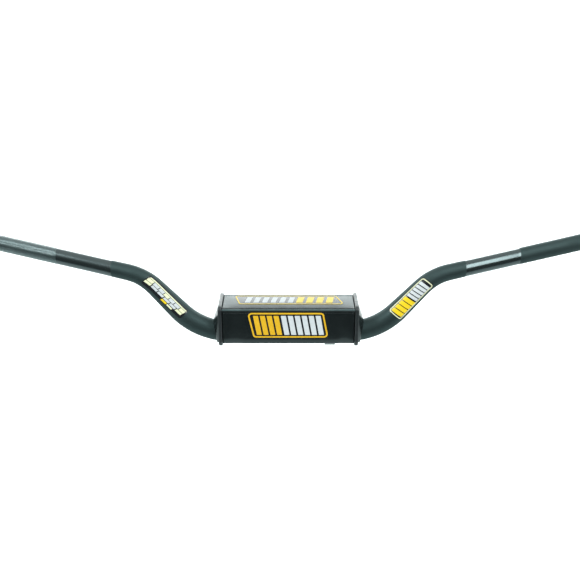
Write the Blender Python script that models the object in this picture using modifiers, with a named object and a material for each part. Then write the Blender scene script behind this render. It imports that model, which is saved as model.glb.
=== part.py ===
"""Motocross handlebar: a tapered alloy bar with a strapped, foam-filled vinyl pad at its middle.

Metres, +Z up. The origin is on the bar's axis at the middle of its clamp section. X runs along the bar,
-Y is the front of the motorcycle, and the grips rise and sweep back to +Y.
"""

import math

import bmesh
import bpy
from mathutils import Matrix, Vector

# Bar: outline of its centre line
CLAMP_VERTEX = 0.1228
RISER_TOP = Vector((0.1990, 0.0150, 0.0775))
BAR_END = Vector((0.4100, 0.0501, 0.1141))
LOWER_BEND = 0.0970
UPPER_BEND = 0.0720
BEND_STEPS = 9

# Bar: section
CLAMP_OD = 0.0286
SHOULDER_OD = 0.0232
GRIP_OD = 0.0222
WALL = 0.0038
TAPER_START = 0.158
TAPER_SHOULDER = 0.234
TAPER_END = 0.290
BAR_SIDE_RINGS = 10
BORE_SIDE_RINGS = 6

# End plugs
PLUG_CAP = 0.0035
PLUG_BARREL = 0.0200
PLUG_RIB = 0.0066
PLUG_CORE = 0.0052
PLUG_RIBS = 3

# Riser decals
DECAL_START = 0.152
DECAL_END = 0.231
DECAL_WRAP = math.radians(76)
DECAL_FILM = 0.0004

# Pad: outside of the cover
PAD_HALF_LENGTH = 0.0900
PAD_HALF_DEPTH = 0.0250
PAD_TOP = 0.0450
PAD_BOTTOM = -0.0088
BOTTOM_RADIUS = 0.0065
TOP_RADIUS = 0.0030
FOAM_TOP_RADIUS = 0.0050
VINYL = 0.0012
GAP = 0.0003
BINDING_WIDTH = 0.0052
BINDING_PROUD = 0.0033
PIPING_RADIUS = 0.0013
END_BULGE = 0.0110
END_VINYL = 0.0014

# Pad: channel for the bar
SLOT_HALF = 0.0149
MOUTH_HALF = 0.0163
MOUTH_ROOF = 0.0180
MOUTH_START = 0.0800

# Pad: trim
BADGE_FILM = 0.0006
LABEL_SIZE = (0.0140, 0.0016, 0.0028)
LABEL_INSET = 0.0064
LABEL_X = 0.0570

# Straps
STRAP_X = 0.0770
STRAP_WIDTH = 0.0220
STRAP_VINYL = 0.0012
STRAP_WRAP = 0.01545
STRAP_CORNER = 0.0060
STRAP_TOP = 0.0245
STRAP_FRONT = -0.0172
PATCH_WIDTH = 0.0200
PATCH_HEIGHT = 0.0200
PATCH_THICK = 0.0012
PATCH_Z = 0.0120

SIDES = (("left", -1), ("right", 1))


def clear_scene():
    for obj in list(bpy.data.objects):
        bpy.data.objects.remove(obj, do_unlink=True)


def new_collection(name):
    collection = bpy.data.collections.new(name)
    bpy.context.scene.collection.children.link(collection)
    return collection


def material(name, colour, roughness, metallic=0.0):
    made = bpy.data.materials.new(name)
    made.use_nodes = True
    shader = made.node_tree.nodes["Principled BSDF"]
    shader.inputs["Base Color"].default_value = (*colour, 1.0)
    shader.inputs["Roughness"].default_value = roughness
    shader.inputs["Metallic"].default_value = metallic
    made.diffuse_color = (*colour, 1.0)
    return made


def add_object(name, data, collection, finish=None):
    obj = bpy.data.objects.new(name, data)
    collection.objects.link(obj)
    if finish:
        obj.data.materials.append(finish)
    return obj


def as_cutter(obj):
    obj.hide_render = True
    obj.display_type = "WIRE"
    return obj


def mesh_from_curve(obj, collection, finish=None):
    """Replaces a curve object by a welded mesh object of the same name."""
    bpy.context.view_layer.update()
    graph = bpy.context.evaluated_depsgraph_get()
    mesh = bpy.data.meshes.new_from_object(obj.evaluated_get(graph))
    shape = bmesh.new()
    shape.from_mesh(mesh)
    bmesh.ops.remove_doubles(shape, verts=shape.verts, dist=0.00001)
    shape.to_mesh(mesh)
    shape.free()
    name = obj.name
    place = obj.matrix_world.copy()
    bpy.data.objects.remove(obj, do_unlink=True)
    mesh.materials.clear()
    made = add_object(name, mesh, collection, finish)
    made.matrix_world = place
    return made


def shade(obj, angle=math.radians(35)):
    obj.data.shade_smooth()
    obj.data.set_sharp_from_angle(angle=angle)


def boolean(obj, other, operation):
    modifier = obj.modifiers.new(operation.title(), "BOOLEAN")
    modifier.operation = operation
    modifier.object = other


def bevel(obj, width, segments=2, angle=math.radians(40)):
    modifier = obj.modifiers.new("Bevel", "BEVEL")
    modifier.width = width
    modifier.segments = segments
    modifier.limit_method = "ANGLE"
    modifier.angle_limit = angle


# ---- Centre line of the bar ----


def fillet(before, vertex, after, radius, steps):
    """Points of the arc that rounds a vertex, with its tangent directions' ends included."""
    back = (before - vertex).normalized()
    ahead = (after - vertex).normalized()
    turn = math.pi - back.angle(ahead)
    centre = vertex + (back + ahead).normalized() * radius / math.cos(turn / 2)
    start = vertex + back * radius * math.tan(turn / 2)
    arm = (start - centre).normalized()
    side = (-back).normalized()
    points = []
    for step in range(steps + 1):
        angle = turn * step / steps
        points.append(centre + radius * (arm * math.cos(angle) + side * math.sin(angle)))
    return points


def half_centre_line():
    """Points from the middle of the clamp section to the right end."""
    middle = Vector((0.0, 0.0, 0.0))
    corner = Vector((CLAMP_VERTEX, 0.0, 0.0))
    lower = fillet(middle, corner, RISER_TOP, LOWER_BEND, BEND_STEPS)
    upper = fillet(corner, RISER_TOP, BAR_END, UPPER_BEND, BEND_STEPS)
    taper_points = [lower[-1].lerp(upper[0], 0.5)]
    out = (BAR_END - upper[-1]).normalized()
    to_grip = TAPER_END - length_of([middle, *lower, *taper_points, *upper])
    return [middle, *lower, *taper_points, *upper, upper[-1] + out * to_grip, BAR_END.copy()]


def length_of(points):
    return sum((b - a).length for a, b in zip(points, points[1:]))


def outer_radius(distance):
    """Radius of the bar at a distance along its centre line from the middle."""
    stops = (
        (TAPER_START, CLAMP_OD / 2),
        (TAPER_SHOULDER, SHOULDER_OD / 2),
        (TAPER_END, GRIP_OD / 2),
    )
    if distance <= stops[0][0]:
        return stops[0][1]
    for (near, big), (far, small) in zip(stops, stops[1:]):
        if distance <= far:
            return big + (small - big) * (distance - near) / (far - near)
    return stops[-1][1]


def centre_line():
    """(point, distance from the middle) for the whole bar, from the left end to the right."""
    half = half_centre_line()
    run = 0.0
    right = [(half[0], 0.0)]
    for near, far in zip(half, half[1:]):
        run += (far - near).length
        right.append((far, run))
    left = [(Vector((-p.x, p.y, p.z)), d) for p, d in reversed(right[1:])]
    return left + right


def at_distance(distance):
    """Point and direction of the right half at a distance along it."""
    half = half_centre_line()
    run = 0.0
    for near, far in zip(half, half[1:]):
        step = (far - near).length
        if run + step >= distance:
            return near.lerp(far, (distance - run) / step), (far - near).normalized()
        run += step
    return half[-1], (half[-1] - half[-2]).normalized()


def bar_curve(name, collection, inset, overrun, side_rings):
    """A tube curve along the centre line, with a radius that lies inset under the bar's surface."""
    line = centre_line()
    data = bpy.data.curves.new(name, "CURVE")
    data.dimensions = "3D"
    data.bevel_depth = CLAMP_OD / 2
    data.bevel_resolution = side_rings
    data.use_fill_caps = True
    spline = data.splines.new("POLY")
    spline.points.add(len(line) - 1)
    for index, (point, distance) in enumerate(line):
        place = point.copy()
        if overrun and index in (0, len(line) - 1):
            neighbour = line[1][0] if index == 0 else line[-2][0]
            place += (point - neighbour).normalized() * overrun
        spline.points[index].co = (*place, 1.0)
        spline.points[index].radius = (outer_radius(distance) - inset) / (CLAMP_OD / 2)
    return add_object(name, data, collection)


def make_bar(parts, cutters, alloy):
    bar = mesh_from_curve(bar_curve("bar_tube", parts, 0.0, 0.0, BAR_SIDE_RINGS), parts, alloy)
    bore = mesh_from_curve(bar_curve("bore_cutter", cutters, WALL, 0.01, BORE_SIDE_RINGS), cutters)
    boolean(bar, as_cutter(bore), "DIFFERENCE")
    shade(bar)


def turned(name, profile, steps, collection, finish):
    """A solid of revolution about its local Z from (radius, height) points that run top to bottom."""
    shape = bmesh.new()
    corners = [shape.verts.new((radius, 0.0, height)) for radius, height in profile]
    for near, far in zip(corners, corners[1:]):
        shape.edges.new((near, far))
    mesh = bpy.data.meshes.new(name)
    shape.to_mesh(mesh)
    shape.free()
    obj = add_object(name, mesh, collection, finish)
    screw = obj.modifiers.new("Screw", "SCREW")
    screw.steps = steps
    screw.render_steps = steps
    screw.use_merge_vertices = True
    screw.merge_threshold = 0.00001
    return obj


def make_plugs(parts, rubber):
    """A ribbed barrel in the bore, behind a flat cap that covers the tube's end."""
    edge = 0.0008
    cap = GRIP_OD / 2 - 0.0002
    profile = [(0.0, PLUG_CAP), (cap - edge, PLUG_CAP), (cap, PLUG_CAP - edge), (cap, GAP), (PLUG_CORE, GAP)]
    pitch = PLUG_BARREL / PLUG_RIBS
    for rib in range(PLUG_RIBS):
        top = -rib * pitch - 0.25 * pitch
        profile += [(PLUG_CORE, top), (PLUG_RIB, top - 0.25 * pitch), (PLUG_CORE, top - 0.5 * pitch)]
    profile += [(PLUG_CORE, -PLUG_BARREL), (0.0, -PLUG_BARREL)]
    for side, sign in SIDES:
        plug = turned("bar_end_plug_" + side, profile, 24, parts, rubber)
        out = (BAR_END - RISER_TOP).normalized()
        out.x *= sign
        plug.rotation_euler = out.to_track_quat("Z", "Y").to_euler()
        plug.location = (sign * BAR_END.x, BAR_END.y, BAR_END.z)
        shade(plug)


def make_decals(parts, film):
    """A film wrapped over the front and top of each riser, a gap clear of the tube."""
    rows = 14
    columns = 10
    for side, sign in SIDES:
        shape = bmesh.new()
        bmesh.ops.create_grid(shape, x_segments=columns, y_segments=rows, size=1.0)
        for vert in shape.verts:
            along = DECAL_START + (DECAL_END - DECAL_START) * (vert.co.y + 1) / 2
            angle = DECAL_WRAP * vert.co.x
            point, out = at_distance(along)
            face = Vector((0.0, -1.0, 0.35))
            face = (face - out * face.dot(out)).normalized()
            cross = out.cross(face)
            radius = outer_radius(along) + GAP
            place = point + radius * (face * math.cos(angle) + cross * math.sin(angle))
            vert.co = (sign * place.x, place.y, place.z)
        bmesh.ops.recalc_face_normals(shape, faces=shape.faces)
        middle = shape.faces[:][len(shape.faces) // 2]
        if middle.normal.y > 0:
            bmesh.ops.reverse_faces(shape, faces=shape.faces)
        mesh = bpy.data.meshes.new("riser_decal_" + side)
        shape.to_mesh(mesh)
        shape.free()
        decal = add_object("riser_decal_" + side, mesh, parts, film)
        thicken(decal, DECAL_FILM, 1.0)
        shade(decal)


def thicken(obj, thickness, offset):
    modifier = obj.modifiers.new("Solidify", "SOLIDIFY")
    modifier.thickness = thickness
    modifier.offset = offset
    modifier.use_even_offset = True


# ---- Outlines in the pad's cross-section, as (y, z) ----


def arc(centre, radius, start, stop, steps=5):
    """Points on an arc, with its angles in degrees from +Y towards +Z."""
    points = []
    for step in range(steps + 1):
        angle = math.radians(start + (stop - start) * step / steps)
        points.append((centre[0] + radius * math.cos(angle), centre[1] + radius * math.sin(angle)))
    return points


def pad_path(offset, slot, top_radius=TOP_RADIUS):
    """The pad's outline, grown by offset, from the front edge of its slot round to the rear edge."""
    low = PAD_BOTTOM + BOTTOM_RADIUS
    high = PAD_TOP - top_radius
    low_y = PAD_HALF_DEPTH - BOTTOM_RADIUS
    high_y = PAD_HALF_DEPTH - top_radius
    low_radius = BOTTOM_RADIUS + offset
    high_radius = top_radius + offset
    return [
        (-slot, PAD_BOTTOM - offset),
        *arc((-low_y, low), low_radius, 270, 180),
        *arc((-high_y, high), high_radius, 180, 90, 3),
        *arc((high_y, high), high_radius, 90, 0, 3),
        *arc((low_y, low), low_radius, 0, -90),
        (slot, PAD_BOTTOM - offset),
    ]


def channel(half, roof, floor=-0.04):
    """Outline of the round-topped channel that the bar lies in."""
    return [(-half, floor), (half, floor), *arc((0.0, roof - half), half, 0, 180, 12)]


def plane_curve(name, outline, collection, closed, x_from, x_to):
    """A flat poly curve in the part's Y and Z, drawn out along X between two places."""
    data = bpy.data.curves.new(name, "CURVE")
    data.dimensions = "2D"
    data.fill_mode = "BOTH" if closed else "NONE"
    data.extrude = (x_to - x_from) / 2
    spline = data.splines.new("POLY")
    spline.points.add(len(outline) - 1)
    spline.use_cyclic_u = closed
    for point, (across, up) in zip(spline.points, outline):
        point.co = (across, up, 0.0, 1.0)
    obj = add_object(name, data, collection)
    middle = (x_to + x_from) / 2
    obj.matrix_world = Matrix(((0, 0, 1, middle), (1, 0, 0, 0), (0, 1, 0, 0), (0, 0, 0, 1)))
    return obj


def plate(name, outline, x_from, x_to, collection, finish=None):
    """A flat outline given thickness along X."""
    obj = plane_curve(name, outline, collection, True, x_from, x_to)
    return mesh_from_curve(obj, collection, finish)


def ribbon(name, path, x_from, x_to, collection, finish):
    """An open path drawn out along X into a sheet."""
    obj = plane_curve(name, path, collection, False, x_from, x_to)
    return mesh_from_curve(obj, collection, finish)


def end_crown(across, up):
    """How far the pad's end stands out from the middle of the bar, at a point of its outline."""
    half = PAD_HALF_DEPTH - VINYL
    bottom = PAD_BOTTOM + VINYL
    height = PAD_TOP - VINYL - bottom
    side = min(1.0, abs(across) / half)
    rise = min(1.0, max(0.0, (up - bottom) / height))
    peak = 0.3
    if rise > peak:
        lift = math.cos(math.pi / 2 * (rise - peak) / (1 - peak)) ** 0.85
    else:
        lift = 1.0 - 0.18 * ((peak - rise) / peak) ** 2
    swell = max(0.0, math.cos(math.pi / 2 * side)) ** 0.7
    return PAD_HALF_LENGTH + GAP + 0.7 * BINDING_WIDTH + END_BULGE * swell * max(0.0, lift)


def crowned_slab(name, inner, outer, collection, finish=None):
    """A block whose end faces follow the crown: inner and outer map (sign, across, up) to X."""
    cuts = 11
    reach = PAD_HALF_DEPTH + 0.004
    middle = (PAD_TOP + PAD_BOTTOM) / 2
    shape = bmesh.new()
    bmesh.ops.create_cube(shape, size=2.0)
    ends = [edge for edge in shape.edges if abs(edge.verts[0].co.x - edge.verts[1].co.x) < 0.1]
    bmesh.ops.subdivide_edges(shape, edges=ends, cuts=cuts, use_grid_fill=True)
    for vert in shape.verts:
        across = vert.co.y * reach
        up = middle + vert.co.z * (reach + 0.003)
        place = outer(across, up) if vert.co.x > 0 else inner(across, up)
        vert.co = (place, across, up)
    mesh = bpy.data.meshes.new(name)
    bmesh.ops.triangulate(shape, faces=shape.faces)
    bmesh.ops.recalc_face_normals(shape, faces=shape.faces)
    shape.to_mesh(mesh)
    shape.free()
    return add_object(name, mesh, collection, finish)


# ---- Pad ----


def make_foam(parts, cutters, foam_finish):
    skin = VINYL + GAP
    reach = PAD_HALF_LENGTH + BINDING_WIDTH + END_BULGE
    outline = pad_path(-skin, SLOT_HALF / 2, FOAM_TOP_RADIUS)
    foam = plate("pad_foam_block", outline, -reach, reach, parts, foam_finish)

    def right(across, up):
        return end_crown(across, up) - END_VINYL - GAP

    def left(across, up):
        return -right(across, up)

    crown = crowned_slab("foam_crown", left, right, cutters)
    slot = plate("foam_slot", channel(SLOT_HALF, SLOT_HALF), -reach, reach, cutters)
    boolean(foam, as_cutter(crown), "INTERSECT")
    boolean(foam, as_cutter(slot), "DIFFERENCE")
    for side, sign in SIDES:
        ends = sorted((sign * MOUTH_START, sign * (reach + 0.002)))
        mouth = plate("foam_mouth_" + side, channel(MOUTH_HALF, MOUTH_ROOF), *ends, cutters)
        boolean(foam, as_cutter(mouth), "DIFFERENCE")
    shade(foam)


def make_cover(parts, vinyl):
    """Front, top and rear panels, with the piping that joins them along the two top edges."""
    path = pad_path(0.0, MOUTH_HALF)
    top_start = PAD_TOP - 2 * PIPING_RADIUS - GAP
    front = [point for point in path if point[0] < 0 and point[1] < top_start]
    front.append((-PAD_HALF_DEPTH, top_start))
    rear = [(-across, up) for across, up in front]
    edge = PAD_HALF_DEPTH - 2 * PIPING_RADIUS - GAP
    top = [(-edge, PAD_TOP), (edge, PAD_TOP)]
    for name, line, offset in (
        ("cover_front_panel", front, -1.0),
        ("cover_rear_panel", rear, 1.0),
        ("cover_top_panel", top, -1.0),
    ):
        panel = ribbon(name, line, -PAD_HALF_LENGTH, PAD_HALF_LENGTH, parts, vinyl)
        thicken(panel, VINYL, offset)
        shade(panel)
    for name, sign in (("piping_front", -1), ("piping_rear", 1)):
        data = bpy.data.curves.new(name, "CURVE")
        data.dimensions = "3D"
        data.bevel_depth = PIPING_RADIUS
        data.bevel_resolution = 2
        data.use_fill_caps = True
        spline = data.splines.new("POLY")
        spline.points.add(1)
        for point, end in zip(spline.points, (-1, 1)):
            across = sign * (PAD_HALF_DEPTH - PIPING_RADIUS)
            point.co = (end * PAD_HALF_LENGTH, across, PAD_TOP - PIPING_RADIUS, 1.0)
        shade(mesh_from_curve(add_object(name, data, parts), parts, vinyl))


def make_ends(parts, cutters, vinyl, binding_finish):
    """A crowned end panel with a mouth for the bar, held in a binding that stands proud all round."""
    near = PAD_HALF_LENGTH + GAP
    far = near + BINDING_WIDTH
    reach = far + END_BULGE
    for side, sign in SIDES:
        outer = pad_path(BINDING_PROUD, MOUTH_HALF)
        inner = pad_path(-VINYL, MOUTH_HALF)
        ring = outer + list(reversed(inner))
        limits = sorted((sign * near, sign * far))
        binding = plate("end_binding_" + side, ring, *limits, parts, binding_finish)
        bevel(binding, 0.0014)
        shade(binding)

        def crown(across, up, depth, way=sign):
            return way * (end_crown(across, up) - depth)

        def skin(across, up):
            return crown(across, up, 0.0 if sign > 0 else END_VINYL)

        def lining(across, up):
            return crown(across, up, END_VINYL if sign > 0 else 0.0)

        panel = crowned_slab("end_panel_" + side, lining, skin, parts, vinyl)
        outline = pad_path(-VINYL - GAP, MOUTH_HALF / 2)
        limits = sorted((sign * (near - 0.01), sign * (reach + 0.01)))
        trim = plate("end_trim_" + side, outline, *limits, cutters)
        mouth = plate("end_mouth_" + side, channel(MOUTH_HALF, MOUTH_ROOF), *limits, cutters)
        boolean(panel, as_cutter(trim), "INTERSECT")
        boolean(panel, as_cutter(mouth), "DIFFERENCE")
        shade(panel)


def rounded_outline(corners, radius, steps=4):
    """A closed outline of the corners given, each rounded by an arc."""
    points = []
    count = len(corners)
    for index in range(count):
        before = Vector((*corners[index - 1], 0.0))
        here = Vector((*corners[index], 0.0))
        after = Vector((*corners[(index + 1) % count], 0.0))
        points += [(point.x, point.y) for point in fillet(before, here, after, radius, steps)]
    return points


def badge(name, corners, radius, place, parts, finish):
    """A thin film with rounded corners: its outline is in the plane that place turns it to."""
    data = bpy.data.curves.new(name, "CURVE")
    data.dimensions = "2D"
    data.fill_mode = "BOTH"
    data.extrude = BADGE_FILM / 2
    spline = data.splines.new("POLY")
    outline = rounded_outline(corners, radius)
    spline.points.add(len(outline) - 1)
    spline.use_cyclic_u = True
    for point, (across, up) in zip(spline.points, outline):
        point.co = (across, up, 0.0, 1.0)
    obj = add_object(name, data, parts)
    obj.matrix_world = place
    mesh_from_curve(obj, parts, finish)


def make_badges(parts, film):
    lift = GAP + BADGE_FILM / 2
    upright = Matrix.Translation((0.0, -PAD_HALF_DEPTH - lift, 0.0)) @ Matrix.Rotation(math.pi / 2, 4, "X")
    front = [(-0.0558, 0.0402), (-0.0478, 0.0028), (0.0547, 0.0028), (0.0475, 0.0402)]
    badge("badge_front", front, 0.005, upright, parts, film)
    flat = Matrix.Translation((0.0, 0.0, PAD_TOP + lift))
    top = [(-0.067, -0.009), (0.076, -0.009), (0.066, 0.019), (-0.075, 0.019)]
    badge("badge_top", top, 0.004, flat, parts, film)


def box(name, size, centre, parts, finish, round_edge=0.0):
    shape = bmesh.new()
    bmesh.ops.create_cube(shape, size=1.0)
    bmesh.ops.scale(shape, vec=size, verts=shape.verts)
    mesh = bpy.data.meshes.new(name)
    shape.to_mesh(mesh)
    shape.free()
    obj = add_object(name, mesh, parts, finish)
    obj.location = centre
    if round_edge:
        bevel(obj, round_edge)
        shade(obj)
    return obj


def strap_path():
    """Middle line of a closed strap: under the front hem, round below the bar and up the rear face."""
    rear = PAD_HALF_DEPTH + 3 * GAP + 2 * PATCH_THICK + STRAP_VINYL / 2
    hem = PAD_BOTTOM - GAP - STRAP_VINYL / 2
    corner = (rear - STRAP_CORNER, hem - 0.0002 + STRAP_CORNER)
    return [
        (STRAP_FRONT, hem + 0.0001),
        *arc((0.0, 0.0), STRAP_WRAP, 228, 300, 6),
        (MOUTH_HALF + 0.0007, hem - 0.0012),
        *arc(corner, STRAP_CORNER, -90, 0, 4),
        (rear, STRAP_TOP),
    ]


def make_straps(parts, vinyl, hook, loop):
    for side, sign in SIDES:
        middle = sign * STRAP_X
        edges = (middle - STRAP_WIDTH / 2, middle + STRAP_WIDTH / 2)
        strap = ribbon("strap_" + side, strap_path(), *edges, parts, vinyl)
        thicken(strap, STRAP_VINYL, 0.0)
        shade(strap)
        loop_y = PAD_HALF_DEPTH + GAP + PATCH_THICK / 2
        hook_y = loop_y + PATCH_THICK + GAP
        size = (PATCH_WIDTH, PATCH_THICK, PATCH_HEIGHT)
        box("loop_patch_" + side, size, (middle, loop_y, PATCH_Z), parts, loop)
        box("hook_patch_" + side, size, (middle, hook_y, PATCH_Z), parts, hook)


def make_label(parts, webbing):
    """A folded webbing tab sewn under the front hem."""
    width, thick, drop = LABEL_SIZE
    centre = (LABEL_X, -PAD_HALF_DEPTH + LABEL_INSET, PAD_BOTTOM - GAP - drop / 2)
    box("hem_label", (width, thick, drop), centre, parts, webbing, 0.0005)


def main():
    clear_scene()
    parts = new_collection("handlebar")
    cutters = new_collection("handlebar_cutters")
    alloy = material("anodised_alloy", (0.055, 0.07, 0.075), 0.42, 0.9)
    rubber = material("plug_rubber", (0.012, 0.012, 0.013), 0.6)
    decal_film = material("decal_film", (0.75, 0.72, 0.45), 0.35)
    foam_finish = material("closed_cell_foam", (0.03, 0.03, 0.032), 0.95)
    vinyl = material("black_vinyl", (0.010, 0.012, 0.013), 0.25)
    binding_finish = material("binding_tape", (0.02, 0.024, 0.026), 0.45)
    badge_film = material("badge_film", (0.85, 0.55, 0.05), 0.3)
    hook = material("hook_tape", (0.02, 0.02, 0.02), 0.9)
    loop = material("loop_tape", (0.03, 0.03, 0.03), 0.95)
    webbing = material("label_webbing", (0.35, 0.36, 0.36), 0.8)
    make_bar(parts, cutters, alloy)
    make_plugs(parts, rubber)
    make_decals(parts, decal_film)
    make_foam(parts, cutters, foam_finish)
    make_cover(parts, vinyl)
    make_ends(parts, cutters, vinyl, binding_finish)
    make_badges(parts, badge_film)
    make_straps(parts, vinyl, hook, loop)
    make_label(parts, webbing)


main()
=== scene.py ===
"""Looks of a motocross handlebar: a tapered alloy bar with wrapped decals and a strapped, vinyl-covered pad.

Metres, +Z up. The origin is on the bar's axis at the middle of its clamp section, X runs along the bar, and
-Y is the front. It is laid out as an add-on whose operators each make one piece, or one group of like pieces.
"""

import math

import bmesh
import bpy
from bpy.props import FloatProperty, FloatVectorProperty, IntProperty, PointerProperty
from mathutils import Matrix, Vector, noise
from mathutils.bvhtree import BVHTree


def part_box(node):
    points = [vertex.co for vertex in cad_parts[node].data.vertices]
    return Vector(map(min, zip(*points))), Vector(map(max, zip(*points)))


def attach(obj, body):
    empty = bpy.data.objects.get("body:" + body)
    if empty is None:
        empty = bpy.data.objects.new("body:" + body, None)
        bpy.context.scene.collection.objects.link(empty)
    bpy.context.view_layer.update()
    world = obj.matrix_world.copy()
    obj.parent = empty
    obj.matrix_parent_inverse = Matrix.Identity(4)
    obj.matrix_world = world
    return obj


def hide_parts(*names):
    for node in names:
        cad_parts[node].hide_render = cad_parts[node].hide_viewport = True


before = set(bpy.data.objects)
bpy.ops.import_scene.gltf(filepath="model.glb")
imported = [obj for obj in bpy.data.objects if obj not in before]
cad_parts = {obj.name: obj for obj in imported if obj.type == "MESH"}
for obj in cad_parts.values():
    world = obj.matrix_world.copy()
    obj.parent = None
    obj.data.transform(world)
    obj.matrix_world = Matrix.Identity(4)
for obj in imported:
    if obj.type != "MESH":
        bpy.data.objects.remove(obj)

bl_info = {
    "name": "Motocross Handlebar",
    "version": (1, 0, 0),
    "blender": (4, 5, 0),
    "location": "View3D > Sidebar > Handlebar",
    "description": "Builds a tapered alloy handlebar with its vinyl-covered pad, decals and straps",
    "category": "Add Mesh",
}

SIDES = (("left", -1), ("right", 1))
MM = 0.001

# Bar: outline of its centre line, as the CAD part has it
CLAMP_VERTEX = Vector((0.1228, 0.0, 0.0))
RISER_TOP = Vector((0.1990, 0.0150, 0.0775))
BAR_END = Vector((0.4100, 0.0501, 0.1141))
LOWER_BEND = 0.0970
UPPER_BEND = 0.0720
BEND_STEPS = 40
TAPER_START = 0.158
TAPER_SHOULDER = 0.234
TAPER_END = 0.290
GRIP_START = 0.3505
FULLER_GRIP = 0.25 * MM
LEFT_KNURL_START = 0.3530
RIGHT_KNURL_START = 0.4180

# Pad: outside of the cover, read from the frame
PAD_LOW, PAD_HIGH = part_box("cover_front_panel")
PAD_HALF_LENGTH = PAD_HIGH.x
PAD_HALF_DEPTH = -PAD_LOW.y
PAD_BOTTOM = PAD_LOW.z
PAD_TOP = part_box("cover_top_panel")[1].z
SEAM_Z = PAD_HIGH.z
SEAM_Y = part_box("cover_top_panel")[1].y
BOTTOM_RADIUS = 6.5 * MM
TOP_RADIUS = 3.0 * MM
GAP = 0.3 * MM
INK = 0.12 * MM
FOAM_HALF_LENGTH = 92.5 * MM
FOAM_SKIN = 1.5 * MM
FOAM_TOP_RADIUS = 3.5 * MM
BINDING_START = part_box("end_binding_right")[0].x
BINDING_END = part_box("end_binding_right")[1].x
BINDING_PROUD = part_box("end_binding_right")[1].z - PAD_TOP
END_BULGE = 11.0 * MM
MOUTH_HALF = 16.3 * MM
MOUTH_ROOF = 18.0 * MM
MOUTH_START = 80.0 * MM
SLOT_HALF = 14.9 * MM

# Cover as cloth: kg to a point of the sheet, stiffness, and the frames that it takes to come to rest
CLOTH = {
    "quality": 6,
    "mass": 0.25,
    "tension_stiffness": 12.0,
    "compression_stiffness": 12.0,
    "bending_stiffness": 12.0,
    "use_pressure": True,
}
SETTLE_FRAMES = 20

# Stage
FLOOR_Z = -0.30
COOL_WHITE = (0.93, 1.0, 1.0)

# Straps, as the CAD part has them
STRAP_X = 77.0 * MM
STRAP_HALF_WIDTH = 11.0 * MM
STRAP_WRAP = 15.45 * MM
STRAP_CORNER = 6.0 * MM
STRAP_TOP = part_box("strap_right")[1].z
STRAP_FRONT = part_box("strap_right")[0].y
STRAP_THICK = 1.2 * MM
STRAP_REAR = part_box("strap_right")[1].y - STRAP_THICK / 2


def linear(code):
    """Scene-linear colour of an sRGB hex code."""
    channels = [int(code[at : at + 2], 16) / 255 for at in (0, 2, 4)]
    return [c / 12.92 if c <= 0.04045 else ((c + 0.055) / 1.055) ** 2.4 for c in channels]


def size(name, text, default):
    return FloatProperty(name=name, description=text, default=default, min=0.0, unit="LENGTH", precision=4)


def colour(name, text, code):
    return FloatVectorProperty(
        name=name, description=text, default=linear(code), size=3, min=0.0, max=1.0, subtype="COLOR"
    )


class HandlebarSizes(bpy.types.PropertyGroup):
    """Sizes of the bar and of the pad's sewn details."""

    clamp_diameter: size("Clamp diameter", "Outside of the bar where it is clamped", 0.0286)
    shoulder_diameter: size("Shoulder diameter", "Outside of the bar above the riser's taper", 0.0232)
    grip_diameter: size("Grip diameter", "Outside of the bar under the grips", 0.0222)
    wall: size("Wall", "Thickness of the bar's wall", 0.0038)
    blasted_half: size("Blasted half length", "Half the span that is bead blasted", 0.243)
    satin_half: size("Satin half length", "How far from the middle the polished bands end", 0.3195)
    knurl_depth: size("Knurl depth", "How far the knurl's points stand out", 0.00010)
    knurl_sides: IntProperty(name="Knurl count", description="Points of the knurl round the bar", default=56)
    film: size("Film", "Thickness of the badge and decal films", 0.00022)
    vinyl: size("Vinyl", "Thickness of the pad's cover", 0.0012)
    swell: size("Swell", "The most that the cover stands out between its seams", 0.0013)
    stitch: size("Stitch length", "Length of one stitch", 0.0024)
    stitch_gap: size("Stitch gap", "Space between two stitches", 0.0012)
    thread: size("Thread", "Thickness of the sewing thread", 0.00055)


class HandlebarColours(bpy.types.PropertyGroup):
    """Colours of the finishes."""

    alloy: colour("Anodised alloy", "Bead-blasted, hard-anodised bar", "3f4d4d")
    satin: colour("Satin alloy", "Polished bands of the bar", "3f4b4c")
    knurl: colour("Knurled alloy", "Left grip, whose knurl is rubbed bright", "4c595a")
    vinyl: colour("Vinyl", "Cover of the pad", "0d1011")
    # The piping's colour is lighter than the cover's vinyl: a painted highlight along its rounded top.
    piping: colour("Piping", "Cord sewn into the pad's top seams", "3b4748")
    binding: colour("Binding", "Tape that binds the pad's ends", "14191b")
    foam: colour("Foam", "Closed-cell foam in the pad", "1d2022")
    thread: colour("Thread", "Sewing thread", "23292b")
    film: colour("Badge film", "Ground of the badges and decals", "121418")
    amber: colour("Amber", "Amber print of the front badge", "c49701")
    yellow: colour("Yellow", "Yellow print of the decals and the top badge", "cfb00a")
    cream: colour("Cream", "Cream print of the decals", "c8c8a6")
    white: colour("White", "White print", "b1b4b6")
    webbing: colour("Webbing", "Woven tab under the hem", "9aa09f")
    rubber: colour("Rubber", "Plugs in the bar's ends", "17181a")


# ---- Materials ----


def add_node(tree, kind, settings=None, inputs=None):
    """Adds a shader node with its settings. An input is a value, a socket, or a node for its first output."""
    made = tree.nodes.new("ShaderNode" + kind)
    for name, value in (settings or {}).items():
        setattr(made, name, value)
    for name, value in (inputs or {}).items():
        if isinstance(value, bpy.types.Node):
            value = value.outputs[0]
        if isinstance(value, bpy.types.NodeSocket):
            tree.links.new(value, made.inputs[name])
        else:
            made.inputs[name].default_value = value
    return made


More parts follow.
